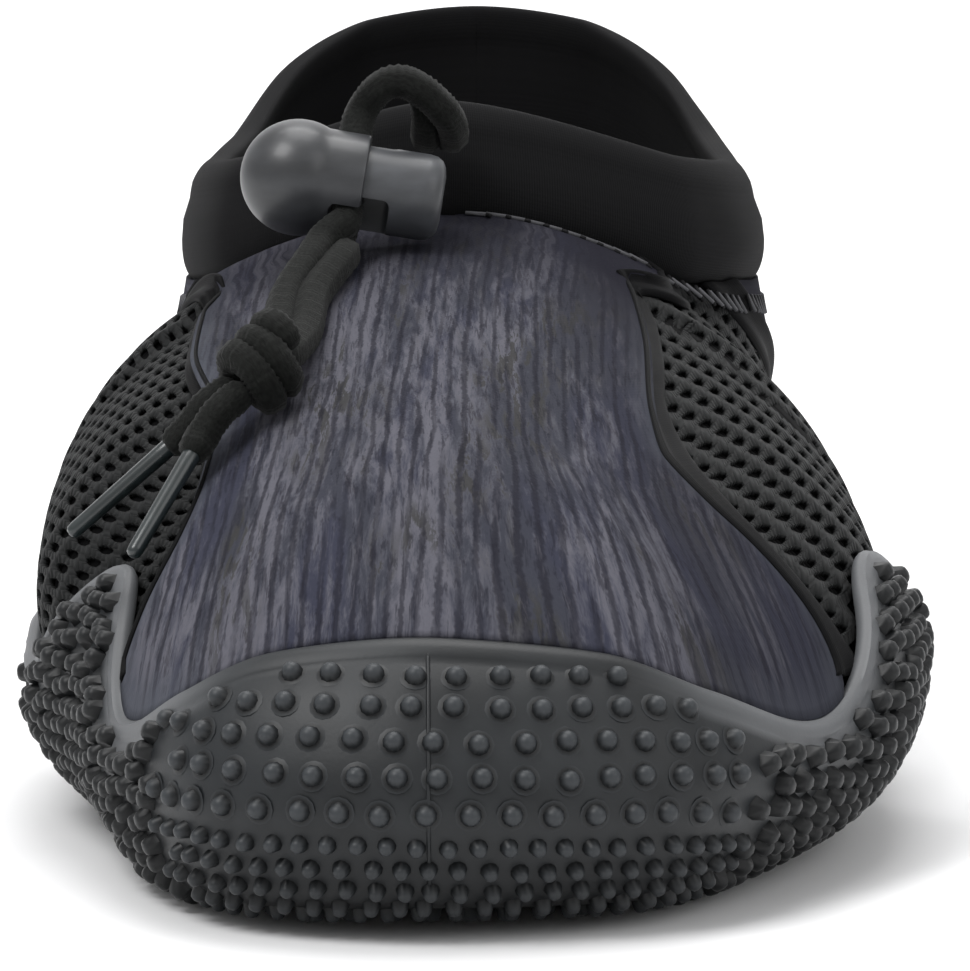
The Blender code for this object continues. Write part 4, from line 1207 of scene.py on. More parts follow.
def nub_mesh(width, height, top_share, rounding, segments=8, paleness=1.0):
    """A nub: a short cone with a rounded top, standing on the origin and sunk a little. It carries a shade value for
    painted light that rises from its foot to its top, up to the given strength of the painted light on its top."""
    form = bmesh.new()
    sunk = 0.25 * MM
    bmesh.ops.create_cone(
        form, cap_ends=True, segments=segments, radius1=width / 2, radius2=width / 2 * top_share, depth=height + sunk
    )
    top = [edge for edge in form.edges if all(vertex.co.z > 0 for vertex in edge.verts)]
    bmesh.ops.bevel(
        form, geom=top, offset=rounding, segments=2, profile=0.5, affect="EDGES", material=-1, clamp_overlap=True
    )
    bmesh.ops.translate(form, vec=(0, 0, (height - sunk) / 2), verts=form.verts)
    tone = form.verts.layers.float.new(SHADE)
    for vertex in form.verts:
        vertex[tone] = max(0.0, vertex.co.z / height) * paleness
    return mesh_from(form, "nub")


# The ring of painted shade round a nub's foot: its inner and outer radius as shares of the nub's width, their
# heights over the wall, and the outer rim's tone.
FOOT_INNER, FOOT_OUTER = 0.42, 0.66
FOOT_HIGH, FOOT_LOW = 0.10 * MM, -0.05 * MM
FOOT_TONE = 0.62


def shade_ring(width, segments=12):
    """A flat ring of painted shade that lies round a nub's foot, dark at the nub. Its rim has the wall's tone."""
    form = bmesh.new()
    tone = form.verts.layers.float.new(SHADE)
    inner = bmesh.ops.create_circle(form, segments=segments, radius=width * FOOT_INNER)["verts"]
    outer = bmesh.ops.create_circle(form, segments=segments, radius=width * FOOT_OUTER)["verts"]
    edges = [edge for edge in form.edges if edge.verts[0] in inner + outer]
    bmesh.ops.bridge_loops(form, edges=edges)
    for vertex in form.verts:
        vertex.co.z = FOOT_HIGH if vertex in inner else FOOT_LOW
        vertex[tone] = 0.0 if vertex in inner else FOOT_TONE
    bmesh.ops.recalc_face_normals(form, faces=form.faces)
    form.normal_update()
    if sum(face.normal.z for face in form.faces) < 0:
        bmesh.ops.reverse_faces(form, faces=form.faces)
    return mesh_from(form, "foot")


def plant(form, mesh, point, normal, turn):
    """Adds one nub that stands on a point."""
    upright = normal.to_track_quat("Z", "Y").to_matrix().to_4x4()
    stand = Matrix.Translation(point) @ upright @ Matrix.Rotation(turn, 4, "Z")
    mesh.transform(stand)
    form.from_mesh(mesh)
    mesh.transform(stand.inverted())


# The bumper's half width in rows, the level where its large nubs begin, and a level above every wall.
BUMPER_HALF = 1.5
BUMPER_LEVEL = 14.6 * MM
WALL_TOP = 40 * MM
FLOOR_CLEARANCE = 0.2 * MM


def wall_zones():
    """Fields of nubs on the wall: rows of the ring, heights up the wall, and the nub of each."""
    size = sizes()
    side = (size.side_nub, size.side_pitch, NUB_HEIGHT - 0.25 * MM, 0.60, 0.14)
    bumper = (size.bumper_nub, size.bumper_pitch, NUB_HEIGHT - 0.55 * MM, 0.68, 0.26)
    low = (size.bumper_nub * 0.84, size.low_pitch, NUB_HEIGHT - 0.5 * MM, 0.60, 0.20)
    start, end = TOE_ROW - BUMPER_HALF, TOE_ROW + BUMPER_HALF
    return (
        Zone("bumper", start, end, BUMPER_LEVEL, WALL_TOP, *bumper),
        Zone("low bumper", start, end, 0.9 * MM, BUMPER_LEVEL - 2 * MM, *low),
        Zone("rest of the wall", end + 0.04, RING_LENGTH + start - 0.04, 0.9 * MM, WALL_TOP, *side),
    )


def nub_places(zone, manner):
    """The staggered places of a zone's nubs: point, normal and turn of each."""
    border = sizes().border
    level, row = zone.low, 0
    while level < zone.high:
        ring = zone.start + (0.5 * zone.pitch / (9.0 * MM) if row % 2 else 0.0)
        while ring < zone.end:
            seed = Vector((ring * 3.1, row * 2.3, 7.0))
            here = level + manner.stray * MM * noise.noise(seed)
            spot = ring + 0.08 * manner.stray * noise.noise(seed + Vector((5, 0, 0)))
            climbed = climbed_at(spot, here)
            if here < wall_height(ring) - border:
                point, normal = sole_skin(spot, climbed), skin_normal(spot, climbed)
                if point.z + normal.z * zone.height > FLOOR_CLEARANCE:
                    yield point, normal, 2.4 * row + 1.7 * ring
            row_length = (sole_skin(ring + 0.02, climbed) - sole_skin(ring, climbed)).length / 0.02
            ring += zone.pitch * manner.along / row_length
        level += zone.pitch * manner.up
        row += 1


def build_nubs():
    form = bmesh.new()
    form.verts.layers.float.new(SHADE)
    for zone in wall_zones():
        manner = DENSE if zone.name == "rest of the wall" else NEAT
        rounding = zone.width * zone.rounding
        nub = nub_mesh(zone.width, zone.height, zone.top, rounding, manner.segments, manner.paleness)
        foot = shade_ring(zone.width)
        for point, normal, turn in nub_places(zone, manner):
            plant(form, nub, point, normal, turn)
            # Bumper nubs get a ring of painted shade round their feet.
            if zone.name == "bumper":
                plant(form, foot, point, normal, 0.0)
    add_piece("sole_nubs", form, nub_rubber(), sharp=50)


def build_tread():
    """Nubs under the sole, in staggered rows across it."""
    form = bmesh.new()
    form.verts.layers.float.new(SHADE)
    pitch = sizes().tread_pitch
    nub = nub_mesh(3.0 * MM, NUB_HEIGHT - 0.05 * MM, 0.7, 0.35 * MM, segments=6)
    outline = [offset_point(ring / 8, 0.0, SOLE_GAP + BASE_THICKNESS - 1.6 * MM) for ring in range(8 * RING_LENGTH)]
    row, y = 0, -LAST_LENGTH / 2
    while y < LAST_LENGTH / 2:
        crossings = sorted(
            a.x + (b.x - a.x) * (y - a.y) / (b.y - a.y)
            for a, b in zip(outline, outline[1:] + outline[:1])
            if (a.y - y) * (b.y - y) < 0
        )
        if len(crossings) >= 2:
            x = crossings[0] + (pitch / 2 if row % 2 else 0.0)
            while x < crossings[-1]:
                ring = tread_ring(x, y)
                height = NUB_HEIGHT + lift(ring, tread_share(ring, x, y))
                plant(form, nub, Vector((x, y, height)), Vector((0, 0, -1)), 1.3 * row + 90 * x)
                x += pitch
        y += pitch * STAGGERED
        row += 1
    add_piece("sole_tread", form, nub_rubber(), sharp=50)


def tread_ring(x, y):
    """The ring place whose section crosses this spot of the underside."""
    row = turning_place(0.0, float(TOE_ROW), lambda place: SPINE_Y(place) > y)
    return row if x < spine(row).x else RING_LENGTH - row


def tread_share(ring, x, y):
    middle, edge = spine(ring), offset_point(ring, 0.0, SOLE_GAP + BASE_THICKNESS)
    reach = in_plan(edge - middle).length
    return min(1.0, in_plan(Vector((x, y, 0)) - middle).length / max(reach, MM))


def build_mould_line():
    """The thin raised line down the front of the bumper, where the mould parts."""
    ring = TOE_ROW + 0.05
    route = [sole_skin(ring, 0.12 + 0.84 * step / 40) for step in range(41)]
    tube("mould_line", Route(route), lambda walked, turn: MOULD_LINE, 8, rubber())


class Route:
    """A route of points with their distances along it and a frame at each that never twists."""

    def __init__(self, points):
        self.points = points
        ways = [(b - a).normalized() for a, b in zip(points, points[1:])]
        ways.append(ways[-1])
        side = ways[0].orthogonal().normalized()
        self.walked = [walked for walked, _ in walk(points)]
        self.frames = []
        for way in ways:
            side = (side - way * side.dot(way)).normalized()
            self.frames.append((side, way.cross(side)))

    @property
    def length(self):
        return self.walked[-1]


def tube(name, route, radius, sides, material, replaces=(), rounding=None):
    """A round-ended tube along a route. radius(walked, turn) gives its radius there."""
    count = len(route.points) - 1
    rounding = rounding or radius(0.0, 0.0)

    def place(u, v):
        i = round(v * count)
        side, up = route.frames[i]
        turn = 2 * math.pi * u
        from_end = min(route.walked[i], route.length - route.walked[i])
        close = max(0.0, 1 - from_end / rounding)
        size = radius(route.walked[i], turn) * math.sqrt(1 - close * close)
        return route.points[i] + (side * math.cos(turn) + up * math.sin(turn)) * size

    form = draped(sides, count, place, even_chart(2 * math.pi * rounding, route.length))
    bmesh.ops.recalc_face_normals(form, faces=form.faces)
    return add_piece(name, form, material, replaces=replaces)


# Drawcord, knot and tips. The braid's surface is this many times as thick as the solid.
CORD_FULL = 1.36
CORD_STEP = 0.35 * MM
BRAID_PITCH = 1.25 * MM
BRAID_DEPTH = 0.13
CORD_SIDES = 16
# A tail begins this far inside the knot and ends in a straight stretch, in which its tip begins.
TAIL_SUNK = 1.5 * MM
TAIL_STRAIGHT = 3.2 * MM
TIP_START = 1.2 * MM


def braided(radius):
    """The cord's radius along it and round it: two crossing sets of plaits."""

    def at(walked, turn):
        way = 2 * math.pi * walked / BRAID_PITCH
        plait = math.sin(way + 3 * turn) * math.sin(way - 3 * turn)
        return radius * (1 + BRAID_DEPTH * plait)

    return at


def softened(points, times=12):
    """A route with its kinks rounded and its ends kept."""
    for _ in range(times):
        inner = [(a + b + c) / 3 for a, b, c in zip(points, points[1:], points[2:])]
        points = [points[0], *inner, points[-1]]
    return points


def knot_route():
    """The visible wraps of the knot, round its own axis."""
    centre, tails = resting("knot"), resting("tails")
    axis = (tails - centre).normalized()
    side = axis.orthogonal().normalized()
    up = axis.cross(side)
    turns, wrap, pitch = 2.6, 2.85 * MM, 2.5 * MM
    points = []
    for step in range(181):
        share = step / 180
        turn = 2 * math.pi * turns * share + 0.6
        tuck = 1 - 0.45 * smooth_share((abs(share - 0.5) - 0.40) / 0.10)
        slant = 0.8 * MM * math.cos(turn + 0.7)
        along = (share - 0.5) * turns * pitch + slant
        points.append(centre + (side * math.cos(turn) + up * math.sin(turn)) * wrap * tuck + axis * along)
    return points


def build_drawcord():
    cloth = cord_cloth()
    radius = CORD_DIAMETER / 2 * CORD_FULL
    centre, tails = resting("knot"), resting("tails")
    way = (tails - centre).normalized()

    def braid(name, points, node):
        return tube(name, Route(points), braided(radius), CORD_SIDES, cloth, [node])

    knot = braid("cord_knot_wraps", knot_route(), "cord_knot")

    across = resting("front tip") - resting("back tip")
    across = (across - way * across.dot(way)).normalized() * (CORD_DIAMETER / 2 + CORD_CLEARANCE / 2)
    pair = strands()
    for side, word, fine in ((1, "front", pair[0]), (-1, "back", pair[1])):
        start = centre + way * (KNOT_LENGTH / 2 - TAIL_SUNK) + across * side * 0.8
        tail = tails + way * TAIL_REACH + across * side * 1.15
        end = resting(f"{word} tip")
        tip_way = (end - tail).normalized()
        raised = start.lerp(tail, 0.55) + last_normal(8.1, 0.7) * 0.6 * MM
        bend = [start, raised, tail, tail + tip_way * TAIL_STRAIGHT]
        tail_piece = braid(f"drawcord_tail_{word}", evenly(fine_route(bend), CORD_STEP), f"cord_tail_{word}")
        tip = build_tip(word, tail + tip_way * TIP_START, tip_way)
        into_knot = fine + [fine[-1].lerp(centre, share) for share in (0.35, 0.7)]
        points = softened(evenly(into_knot, CORD_STEP))
        strand = braid(f"drawcord_{word}", points, f"cord_{word}")
        extra = [tail_piece, tip] + ([knot] if word == "front" else [])
        tuple(points[0])
        Route(points).length
        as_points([tuple(point) for point in points[::4]] + [tuple(points[-1])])


# Half a turn that brings the X axis onto the Z axis.
X_TO_Z = Matrix.Rotation(math.pi, 4, Vector((1, 0, 1)))


def turned(profile, stand, steps=56):
    """A form turned about the X axis from (along, radius) points, and then moved to its stand."""
    form = bmesh.new()
    verts = [form.verts.new((along, 0, radius)) for along, radius in profile]
    edges = [form.edges.new(pair) for pair in zip(verts, verts[1:])]
    bmesh.ops.spin(
        form, geom=verts + edges, cent=(0, 0, 0), axis=(1, 0, 0), angle=2 * math.pi, steps=steps, use_merge=True
    )
    bmesh.ops.remove_doubles(form, verts=form.verts, dist=MERGE)
    bmesh.ops.recalc_face_normals(form, faces=form.faces)
    bmesh.ops.transform(form, matrix=stand, verts=form.verts)
    return form


# Half the outline of a cord's tip: millimetres along it, and its radius there.
TIP_PROFILE = (
    (0.0, 0.0),
    (0.0, 0.95),
    (0.15, 1.05),
    (3.0, 1.02),
    (9.0, 0.95),
    (15.3, 0.88),
    (15.9, 0.8),
    (16.2, 0.5),
    (16.3, 0.0),
)


def build_tip(word, begin, way):
    """A moulded tip: a slim tapered barrel with a collar where the cord goes in."""
    stand = Matrix.Translation(begin) @ way.to_track_quat("Z", "Y").to_matrix().to_4x4()
    form = turned([(along * MM, radius * MM) for along, radius in TIP_PROFILE], stand @ X_TO_Z, 24)
    tip = moulded("tip_plastic", colours().tip, 0.32, 0.3)
    return add_piece(f"drawcord_tip_{word}", form, tip, replaces=[f"cord_tip_{word}"], sharp=40)


# Cord lock.
def cut_box(piece, low, high):
    """Cuts a box, given in the lock's frame, out of a piece."""
    form = bmesh.new()
    bmesh.ops.create_cube(form, size=1.0)
    for vertex in form.verts:
        vertex.co = Vector(high[i] if vertex.co[i] > 0 else low[i] for i in range(3))
    bmesh.ops.bevel(
        form, geom=form.edges[:], offset=0.8 * MM, segments=4, profile=0.5, affect="EDGES", material=-1
    )
    bmesh.ops.transform(form, matrix=LOCK_MATRIX, verts=form.verts)
    cutter = placed("cutter", mesh_from(form, "cutter"))
    cut = add_modifier(piece, "BOOLEAN", operation="DIFFERENCE", object=cutter, solver="EXACT")
    bpy.context.view_layer.update()
    graph = bpy.context.evaluated_depsgraph_get()
    finished = bpy.data.meshes.new_from_object(piece.evaluated_get(graph))
    piece.modifiers.remove(cut)
    piece.data = finished
    bpy.data.objects.remove(cutter)
    finished.shade_smooth()
    finished.set_sharp_from_angle(angle=math.radians(35))


def build_lock():
    plastic = moulded("lock_plastic", colours().lock, 0.42, 0.12)
    pale = moulded("button_plastic", toned(colours().lock, 1.75), 0.45, 0.08)
    centre = -(LOCK_BODY_LENGTH - LOCK_RADIUS)
    nose = [
        (centre - LOCK_RADIUS * math.cos(math.radians(a)), LOCK_RADIUS * math.sin(math.radians(a)))
        for a in range(0, 115, 6)
    ]
    rim = LOCK_BORE_RADIUS + 0.75 * MM
    bore = [
        (centre + 3.6 * MM, rim + 0.02 * MM),
        (centre + 5.0 * MM, rim),
        (-0.5 * MM, rim),
        (-0.15 * MM, rim - 0.1 * MM),
        (0.0, rim - 0.35 * MM),
        (0.0, LOCK_BORE_RADIUS),
        (-LOCK_BORE_DEPTH, LOCK_BORE_RADIUS),
        (-LOCK_BORE_DEPTH, 0.0),
    ]
    body = add_piece("lock_shell", turned(nose + bore, LOCK_MATRIX), plastic, replaces=["lock_body"])
    head = BUTTON_HEAD
    stem = [
        (-BUTTON_STEM, 0.0),
        (-BUTTON_STEM, BUTTON_RADIUS - 0.3 * MM),
        (-BUTTON_STEM + 0.3 * MM, BUTTON_RADIUS),
        (head - 2.2 * MM, BUTTON_RADIUS),
        (head - 1.3 * MM, BUTTON_RADIUS - 0.15 * MM),
        (head - 0.6 * MM, BUTTON_RADIUS - 0.6 * MM),
        (head - 0.2 * MM, BUTTON_RADIUS - 1.3 * MM),
        (head, BUTTON_RADIUS - 2.4 * MM),
        (head, 0.0),
    ]
    button = add_piece(
        "lock_plunger", turned(stem, LOCK_MATRIX), pale, body="button", replaces=["lock_button"]
    )
    half = CORD_DIAMETER + 2.5 * CORD_CLEARANCE
    far = 2 * LOCK_RADIUS
    notch_start = CORD_FROM_RIM - CORD_DIAMETER / 2 - CORD_CLEARANCE
    slot_end = notch_start + SLOT_DEPTH + BUTTON_TRAVEL - CORD_DIAMETER
    cut_box(body, (notch_start - CORD_CLEARANCE, -half, -far), (far, half, far))
    cut_box(button, (notch_start, -half, -far), (slot_end, half, far))


# Upper: lining, open mesh, printed panels and their bindings.
LINING_DEPTH = 0.8 * MM
LINING_THICKNESS = 1.1 * MM
MESH_THICKNESS = 0.65 * MM
STRIP_THICKNESS = 0.35 * MM


def build_lining():
    def place(u, v):
        ring = u * RING_LENGTH
        return offset_point(ring, v, -LINING_DEPTH)

    form = draped(220, 34, place, even_chart(0.55, 0.09))
    face_out(form, 2.0, 0.6)
    lining = add_piece(
        "upper_lining", form, knit("lining_knit", colours().lining, 520, 300, 0.25 * MM), replaces=["upper"]
    )
    add_modifier(lining, "SOLIDIFY", thickness=LINING_THICKNESS, offset=-1)


LINE_STEPS = 36
# The open mesh of each side: pitch of its holes along and across the shoe, their length and width as shares of a
# cell, how far they slant, and how deep every second thread lies.
Lattice = namedtuple("Lattice", "name side along across length width slant relief")
LATTICES = (
    Lattice("lateral", 1, 7.4 * MM, 2.15 * MM, 0.68, 1.06, 0.22 * MM, 0.35 * MM),
    Lattice("medial", -1, 4.2 * MM, 1.95 * MM, 0.80, 0.98, 0.12 * MM, 0.12 * MM),
)
MESH_BACK, MESH_FRONT = 70 * MM, -95 * MM
THREAD_WIDTH = 0.36 * MM
# The mesh runs this far under what covers it, as a share of the meridian, and ends under the collar.
MESH_TUCK = 0.03
MESH_TOP = 0.985


def row_at(side, share, y):
    """The section row whose meridian is this far along the shoe at this share."""
    return turning_place(0.0, float(TOE_ROW), lambda row: last_point(ring_of(side, row), share).y > y)


def line_across(side, y):
    """The wall's line across the shoe at one place along it: (walked, row, share) marks, from the widest place."""
    shares = [step / LINE_STEPS for step in range(LINE_STEPS + 1)]
    rows = [row_at(side, share, y) for share in shares]
    walks = walk(last_point(ring_of(side, row), share) for row, share in zip(rows, shares))
    marks = [(walked, row, share) for (walked, _), row, share in zip(walks, rows, shares)]
    base = next(walked for walked, _, share in marks if share >= 0.2)
    return [(walked - base, row, share) for walked, row, share in marks]


def on_line(marks, walked):
    """Row and share at a distance along a line, or None beyond its ends."""
    for (a, row_a, share_a), (b, row_b, share_b) in zip(marks, marks[1:]):
        if a <= walked <= b:
            f = (walked - a) / (b - a)
            return row_a + (row_b - row_a) * f, share_a + (share_b - share_a) * f
    return None


def edge_track(side):
    """The vamp panel's lower edge, as the share of the meridian at each section row."""
    marks = {}
    for step in range(41):
        ring, share = vamp_place(side, FOOT_WAY * step / 40, 0.0)
        marks[round(row_of(ring), 4)] = share
    return Track(sorted(marks.items()))


def mesh_shows(side, row, share, vamp_edge, front):
    """Whether open mesh is seen at a place, not covered by a panel, the collar or the sole."""
    ring = ring_of(side, row)
    sole = sole_share(round(ring, 2))
    if share < sole - MESH_TUCK or share > MESH_TOP or row > vamp_edge.places[-1] + 0.05:
        return False
    if row > vamp_edge.places[0] and share > vamp_edge(row) + MESH_TUCK:
        return False
    climbed = (share - sole) / (1 - sole)
    return row > front(climbed) - 0.12


def net(lattice):
    """Open mesh on one side of the upper: a grid in which every second crossing opens into a slanted oval hole."""
    side, vamp_edge = lattice.side, edge_track(lattice.side)
    columns = 2 * round((MESH_BACK - MESH_FRONT) / lattice.along)
    lines = [line_across(side, MESH_BACK + (MESH_FRONT - MESH_BACK) * i / columns) for i in range(columns + 1)]
    low = min(line[0][0] for line in lines)
    high = max(line[-1][0] for line in lines)
    rows = 2 * round((high - low) / lattice.across)
    front = Track(HEEL_PANEL_FRONT)
    form = bmesh.new()
    bmesh.ops.create_grid(form, x_segments=columns, y_segments=rows, size=0.5)
    layer = form.loops.layers.uv.new(CHART)
    spots, lost = {}, []
    for vertex in form.verts:
        i, j = round((vertex.co.x + 0.5) * columns), round((vertex.co.y + 0.5) * rows)
        walked = low + (high - low) * j / rows
        found = on_line(lines[i], walked)
        if found is None or not mesh_shows(side, *found, vamp_edge, front):
            lost.append(vertex)
            continue
        spots[vertex] = (i, j)
        for loop in vertex.link_loops:
            loop[layer].uv = (walked, i * lattice.along / 2)
        vertex.co = offset_point(ring_of(side, found[0]), found[1], -lattice.relief if i % 2 else 0.0)
    bmesh.ops.delete(form, geom=lost, context="VERTS")
    middles = [
        vertex for vertex, (i, j) in spots.items() if i % 2 and (j + i // 2) % 2 and len(vertex.link_faces) == 4
    ]
    bmesh.ops.dissolve_verts(form, verts=middles)
    cells = [face for face in form.faces if len(face.verts) == 8]
    bmesh.ops.inset_individual(form, faces=cells, thickness=THREAD_WIDTH, use_even_offset=True)
    for face in cells:
        open_hole(face, spots, lattice)
    bmesh.ops.delete(form, geom=cells, context="FACES_ONLY")
    form.normal_update()
    face_out(form, ring_of(side, 6.5), 0.45)
    return form


# How far a hole's corners are drawn in, along it and across.
CORNER_LENGTH, CORNER_WIDTH = 0.74, 0.72


def open_hole(face, spots, lattice):
    """Rounds an inset cell's corners and slants it, so that it becomes an oval hole."""
    centre = face.calc_center_median()
    around = {}
    for vertex in face.verts:
        outer = next(e.other_vert(vertex) for e in vertex.link_edges if e.other_vert(vertex) in spots)
        around[vertex] = spots[outer]
    middle_i = sum(spot[0] for spot in around.values()) / 8
    middle_j = sum(spot[1] for spot in around.values()) / 8
    upper = max(around, key=lambda v: around[v][1] - abs(around[v][0] - middle_i) * 0.1)
    lower = min(around, key=lambda v: around[v][1] + abs(around[v][0] - middle_i) * 0.1)
    way = (upper.co - lower.co).normalized()
    for vertex, (i, j) in around.items():
        off_i, off_j = i - middle_i, abs(j - middle_j) > 0.5
        reach = vertex.co - centre
        across = way * reach.dot(way)
        along = reach - across
        if abs(off_i) > 0.5:
            along = along * lattice.length * (CORNER_LENGTH if off_j else 1.0)
            across = across * (CORNER_WIDTH if off_j else 1.0)
        vertex.co = centre + along + across * lattice.width + way * lattice.slant * off_i


def build_mesh():
    cloth = mesh_thread()
    for lattice in LATTICES:
        piece = add_piece(f"mesh_{lattice.name}", net(lattice), cloth)
        add_modifier(piece, "SOLIDIFY", thickness=MESH_THICKNESS, offset=-1)


PANEL_OUTER = PANEL_GAP + PANEL_THICKNESS

# The print's lines fan out towards the toe: place along the shoe, and width of the print there.
FAN = Track(((-131 * MM, 1.75), (-110 * MM, 1.38), (-85 * MM, 1.08), (-60 * MM, 1.0), (40 * MM, 1.0)))
RIDGE_MIDDLE = -0.11 * HALF_BALL
MEDIAL_FAN = 0.2


@lru_cache(maxsize=None)
def toe_walk():
    """Distances down the vamp's middle at even steps along the shoe: down the ridge, and then down the toe."""
    marks = []
    ridge = [crest(THROAT_ROW + (TOE_ROW - THROAT_ROW) * step / 30) for step in range(31)]
    toe = [last_point(float(TOE_ROW), 1 - 0.7 * step / 30) for step in range(1, 31)]
    for walked, point in walk(ridge + toe):
        if not marks or -point.y > marks[-1][0] + 0.2 * MM:
            marks.append((-point.y, walked))
    return Track(marks)


def panel_chart(point):
    """Cloth coordinates of a point of the vamp: across from its middle line, and down that line."""
    beyond = point.y - RIDGE_Y(THROAT_ROW)
    walked = -beyond if beyond > 0 else toe_walk()(-point.y)
    aside = point.x - RIDGE_MIDDLE
    fan = 1 + (FAN(point.y) - 1) * (1.0 if aside > 0 else MEDIAL_FAN)
    return aside / fan, walked


# Rounds of smoothing all over the vamp and near the ridge's end, and how far the latter reach.
RELAXED = 5
RIDGE_RELAXED = 14
RIDGE_END_REACH = 9 * MM


def relax(form, ridge_end):
    """Smooths a sheet inside its edges, most of all where the ridge ends."""
    inside = [vertex for vertex in form.verts if not vertex.is_boundary]
    near = [vertex for vertex in inside if (vertex.co - ridge_end).length < RIDGE_END_REACH]
    for verts, times in ((inside, RELAXED), (near, RIDGE_RELAXED)):
        for _ in range(times):
            bmesh.ops.smooth_vert(form, verts=verts, factor=0.5, use_axis_x=True, use_axis_y=True, use_axis_z=True)


def build_vamp():
    def spot(u, v):
        side, way = (-1, 2 * u) if u <= 0.5 else (1, 2 - 2 * u)
        return vamp_place(side, way, v)

    def place(u, v):
        return soft_point(*spot(u, v), PANEL_OUTER)

    def chart(u, v):
        return panel_chart(last_point(*spot(u, v)))

    def shade(u, v):
        way = 2 * min(u, 1 - u)
        return (1 - smooth_share(v / 0.16)) * (1 - smooth_share((way - 0.75) / 0.1))

    form = draped(240, 36, place, chart, shade)
    relax(form, offset_point(TOE_ROW, 1.0, PANEL_OUTER))
    face_out(form, TOE_ROW - 2.0, 0.8)
    vamp = add_piece("vamp_print", form, print_cloth(), replaces=["vamp_panel"])
    add_modifier(vamp, "SOLIDIFY", thickness=PANEL_THICKNESS, offset=-1)


def heel_place(ring, up):
    """Ring place and share of a point of the heel panel, up its height."""
    low = above_sole(ring)
    return ring, low + (panel_top(ring) - low) * up


def build_heel_panel():
    front = Track(HEEL_PANEL_FRONT)

    def spot(u, v):
        return heel_place((2 * u - 1) * front(v), v)

    def place(u, v):
        return offset_point(*spot(u, v), PANEL_OUTER)

    def chart(u, v):
        ring, share = spot(u, v)
        return share * 0.09 + 0.3, ring * 0.03

    form = draped(170, 26, place, chart)
    face_out(form, 0.0, 0.7)
    panel = add_piece("heel_print", form, print_cloth(), replaces=["heel_panel"])
    add_modifier(panel, "SOLIDIFY", thickness=PANEL_THICKNESS, offset=-1)


# Outer edge of the black binding that holds the vamp's edge: way, section row and share of the meridian.
Bound = namedtuple("Bound", "way row share")
BINDING = {
    1: (
        Bound(0.0, 5.2, 0.95),
        Bound(0.1, 5.75, 0.765),
        Bound(0.2, 6.4, 0.735),
        Bound(0.4, 7.5, 0.725),
        Bound(0.5, 8.05, 0.68),
        Bound(0.55, 8.25, 0.60),
        Bound(0.6, 8.3, 0.50),
        Bound(0.65, 8.25, 0.36),
    ),
    -1: (
        Bound(0.0, 4.72, 0.95),
        Bound(0.1, 5.5, 0.775),
        Bound(0.2, 6.2, 0.675),
        Bound(0.4, 7.35, 0.675),
        Bound(0.5, 8.05, 0.615),
        Bound(0.55, 8.33, 0.54),
        Bound(0.6, 8.42, 0.44),
        Bound(0.65, 8.52, 0.32),
    ),
}
# The first part of a vamp strip's length runs straight up under the collar.
STRIP_START = 0.05
# Heights of a strip over the last in millimetres, across its width.
STRIP_PROFILE = Track(((0.0, -0.1), (0.08, 0.62), (0.2, 0.85), (0.55, 0.9), (0.75, 1.5), (0.86, 2.0), (1.0, 1.72)))


def strip(name, lower, upper, columns, material):
    """A folded strip over a panel's edge. lower(u) and upper(u) give the ring place and share of its two sides."""

    def spot(u, v):
        (low_ring, low_share), (high_ring, high_share) = lower(u), upper(u)
        return low_ring + (high_ring - low_ring) * v, low_share + (high_share - low_share) * v

    def place(u, v):
        ring, share = spot(u, v)
        return soft_point(ring, share, STRIP_PROFILE(v) * MM)

    def chart(u, v):
        return v * 0.004, u * 0.12

    form = draped(columns, 14, place, chart)
    form.normal_update()
    middle = spot(0.5, 0.5)
    face_out(form, *middle)
    piece = add_piece(name, form, material)
    add_modifier(piece, "SOLIDIFY", thickness=STRIP_THICKNESS, offset=-1)


def vamp_strip(side):
    """The two sides of the strip along the vamp's edge."""
    rows, shares = track_of(BINDING[side], "row"), track_of(BINDING[side], "share")

    def way_at(u):
        return FOOT_WAY * max(0.0, u - STRIP_START) / (1 - STRIP_START)

    def under_collar(u, share):
        return share + (0.99 - share) * max(0.0, 1 - u / STRIP_START)

    def lower(u):
        return ring_of(side, rows(way_at(u))), under_collar(u, shares(way_at(u)))

    def upper(u):
        ring, share = vamp_place(side, way_at(u), 0.035)
        return ring, under_collar(u, share)

    return lower, upper


def heel_strip(side):
    """The two sides of the strip along the heel panel's front."""
    front = Track(HEEL_PANEL_FRONT)

    def beside_front(u, beyond):
        return heel_place(ring_of(side, front(u) + beyond), u)

    return lambda u: beside_front(u, 0.14 + 0.10 * u), lambda u: beside_front(u, -0.06)


def build_bindings():
    cloth = knit("binding_knit", colours().binding, 3100, 1900, 0.04 * MM, 0.62)
    for panel, edges, columns in (("vamp", vamp_strip, 120), ("heel", heel_strip, 60)):
        for side, word in ((1, "lateral"), (-1, "medial")):
            strip(f"{panel}_binding_{word}", *edges(side), columns, cloth)


# Collar.
COLLAR_COLUMNS = 320
COLLAR_BANDS = 44
# Soft dents of the band: place on the collar's ring and up the band, spread along and up, and depth.
Crease = namedtuple("Crease", "ring up width height depth")
CREASES = (
    Crease(5.2, 0.62, 0.16, 0.5, 0.55 * MM),
    Crease(5.75, 0.3, 0.22, 0.4, 0.35 * MM),
    Crease(6.5, 0.5, 0.2, 0.6, 0.4 * MM),
    Crease(7.1, 0.35, 0.18, 0.5, 0.5 * MM),
    Crease(8.2, 0.55, 0.3, 0.5, 0.45 * MM),
    Crease(9.6, 0.5, 0.25, 0.6, 0.4 * MM),
    Crease(2.4, 0.5, 0.3, 0.5, 0.45 * MM),
    Crease(3.7, 0.4, 0.25, 0.5, 0.5 * MM),
    Crease(0.4, 0.5, 0.3, 0.6, 0.4 * MM),
)
